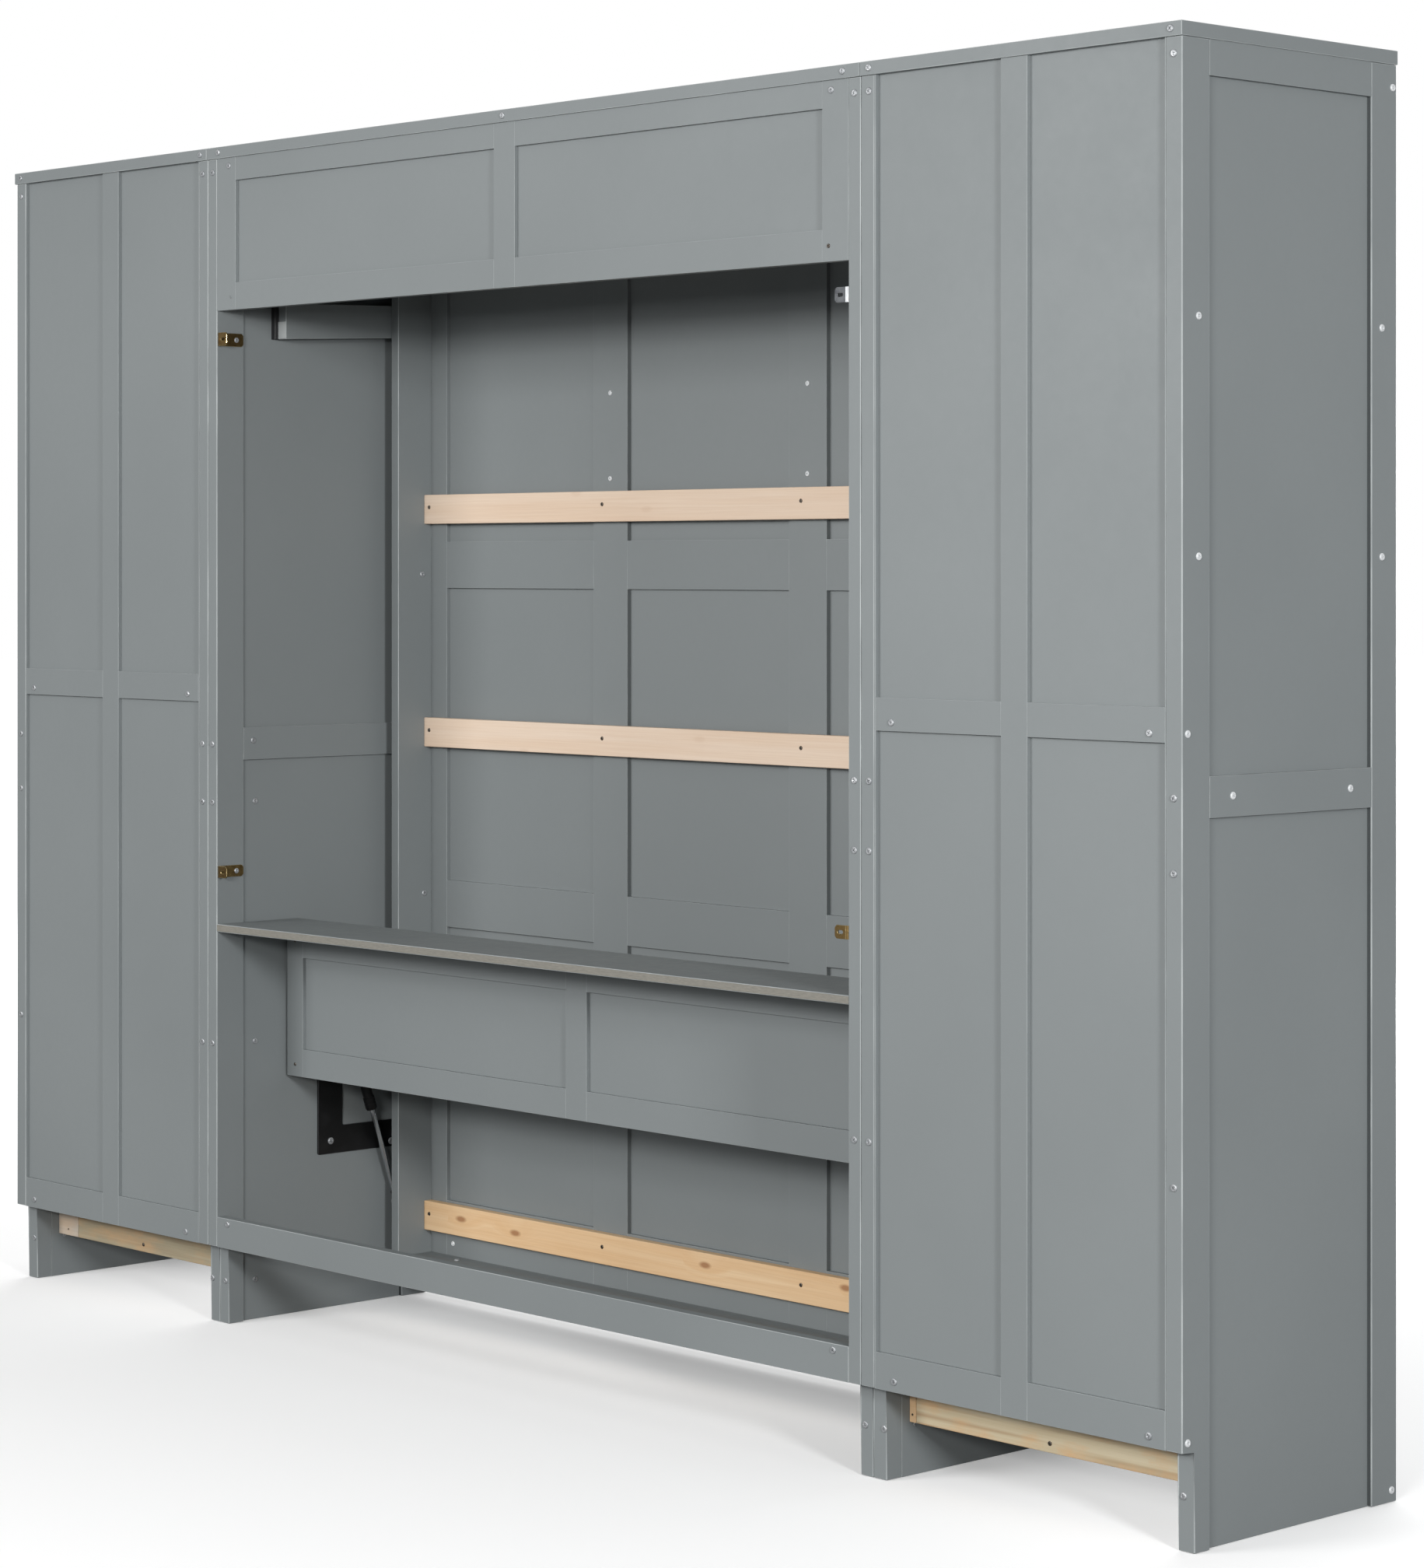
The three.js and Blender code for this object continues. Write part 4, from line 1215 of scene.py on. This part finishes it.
# ---------- pine rails under the towers ----------
PINE_JOINT = 0.0012
PINE_WOODS = {  # length and wood of the end block, and the rail's wood; the right-hand rail's wood is a darker copy, painted shade
    "left": (0.013, PINE_WARM, PINE_DULL),
    "right": (0.066, PINE_GREY, PINE_SHADED),
}


def build_pine_rails():
    """A dull pine rail under each tower, with a paler block nailed on at its right-hand end; the right-hand
    rail is a darker copy of the wood, painted shade.
    """
    for word, sign in SIDES:
        node = f"{word}_tower_pine_rail"
        low, high = span(node)
        length, tip_wood, rail_wood = PINE_WOODS[word]
        y, z = (low[1], high[1]), (low[2], high[2])
        tip = high[0] - length
        boards(node + "_board", [((low[0], tip - PINE_JOINT), y, z)], "cabinet", rail_wood, (node,), 0.0012)
        boards(node + "_end", [((tip, high[0]), y, z)], "cabinet", tip_wood, ease=0.0012)
        middle = [((low[0] + high[0]) / 2, high[1], low[2] + 0.014)]
        screws(f"{word}_pine_rail_screws", middle, (0, 1, 0), "cabinet", 0.0036, SLAT_STEEL)
        foot = [(high[0], y_of(156), low[2] - 0.005)]
        screws(f"{word}_foot_screw", foot, (-1, 0, 0), "cabinet", 0.0034)
        nails = [(tip + length / 2, high[1], low[2] + rise) for rise in (0.012, 0.046)]
        screws(f"{word}_pine_end_nails", nails, (0, 1, 0), "cabinet", 0.0018, SLAT_STEEL)


# ---------- assembly screws ----------
LIP_SCREW_Z = 2.1400  # screws in the top boards' rear edges
HEADER_FINISH = {"left": SLAT_STEEL, "right": PAINT}  # one of the header's screws is painted over


def y_of(carcass_y):
    """Carcass Y in millimetres from the middle of the depth, as a frame Y in metres."""
    return MID_Y + carcass_y * MM


def build_screws():
    """Assembly screws; every place is given for the right-hand side and repeated on the left."""
    rear_lip = span("center_top")[1][1]
    headboard = span("headboard_panel")[1][1]
    ledge = span("bed_head_rail")[1][2]
    outer, sunk = OUTER_SIDE[1][0], INNER + SIDE_RECESS
    rear = [(x, REAR, z) for x in (0.828, 0.859, 1.460) for z in (0.515, 0.955, 1.061, 2.105)]
    rear += [(x, REAR, z) for x, z in ((0.778, 2.114), (0.782, 0.189), (0.906, 1.151), (1.415, 1.151),
                                       (0.912, 0.160), (1.414, 0.160))]
    rear += [(x, rear_lip, LIP_SCREW_Z) for x in (0.806, 0.862, 1.457)]
    rear += [(x, REAR - NOTCH[0], 0.078) for x in (0.825, 0.865, 1.455)]
    side = [(-209, 1.738), (-209, 1.400), (209, 1.738), (209, 1.400), (-134, 1.061), (134, 1.061),
            (233, 1.151), (233, 0.158), (-235, 2.095), (-232, 0.018)]
    inside = [(INNER, y_of(163), 1.066)] + [(sunk, y_of(153), z) for z in (0.954, 0.512, 0.073)]
    rail = [(RAIL_INNER, y_of(y), z) for y, z in ((-195, 1.371), (-200, 0.768), (-206, 0.142))]
    panel = [(x, BED_BACK, z) for x, z in ((0.701, 0.110), (0.254, 1.544), (0.254, 1.698))]
    frame_side = [(outer, y_of(y), z) for y, z in side]
    shelf = [(0.791, headboard, z) for z in (0.466, 0.694)]
    groups = (  # name, places, direction, body, radius, finish
        ("rear_screws", rear, (0, 1, 0), "cabinet", SCREW_SIZE, ZINC),
        ("header_screw", [(0.772, REAR, 1.876)], (0, 1, 0), "cabinet", 0.0034, HEADER_FINISH),
        ("outer_screws", frame_side, (1, 0, 0), "cabinet", SCREW_SIZE, WHITE_ZINC),
        ("centre_side_screws", inside, (-1, 0, 0), "cabinet", SCREW_SIZE, ZINC),
        ("rail_screws", rail, (-1, 0, 0), "bed", SCREW_SIZE, ZINC),
        ("panel_screws", panel, (0, 1, 0), "bed", 0.0046, WHITE_ZINC),
        ("headboard_screws", shelf, (0, 1, 0), "cabinet", 0.0030, SLAT_STEEL),
        ("ledge_screws", [(0.658, y_of(-192), ledge)], (0, 0, 1), "bed", SCREW_SIZE, ZINC),
    )
    for word, sign in SIDES:
        for name, places, (dx, dy, dz), body, radius, finish in groups:
            mirrored = [(sign * x, y, z) for x, y, z in places]
            coat = finish[word] if isinstance(finish, dict) else finish
            screws(f"{word}_{name}", mirrored, (sign * dx, dy, dz), body, radius, coat)
    screws("top_middle_screw", [(0.0, rear_lip, LIP_SCREW_Z)], (0, 1, 0), "cabinet")


build_studio()
build_sides()
build_plain_boards()
build_stop_cleats()
build_headboard_shelf()
build_rear_panels()
build_slats()
build_rails()
build_strut_brackets()
build_handles()
build_leg_frame()
build_mechanism_plates()
build_struts()
build_wall_brackets()
build_tower_fronts()
build_pine_rails()
build_screws()
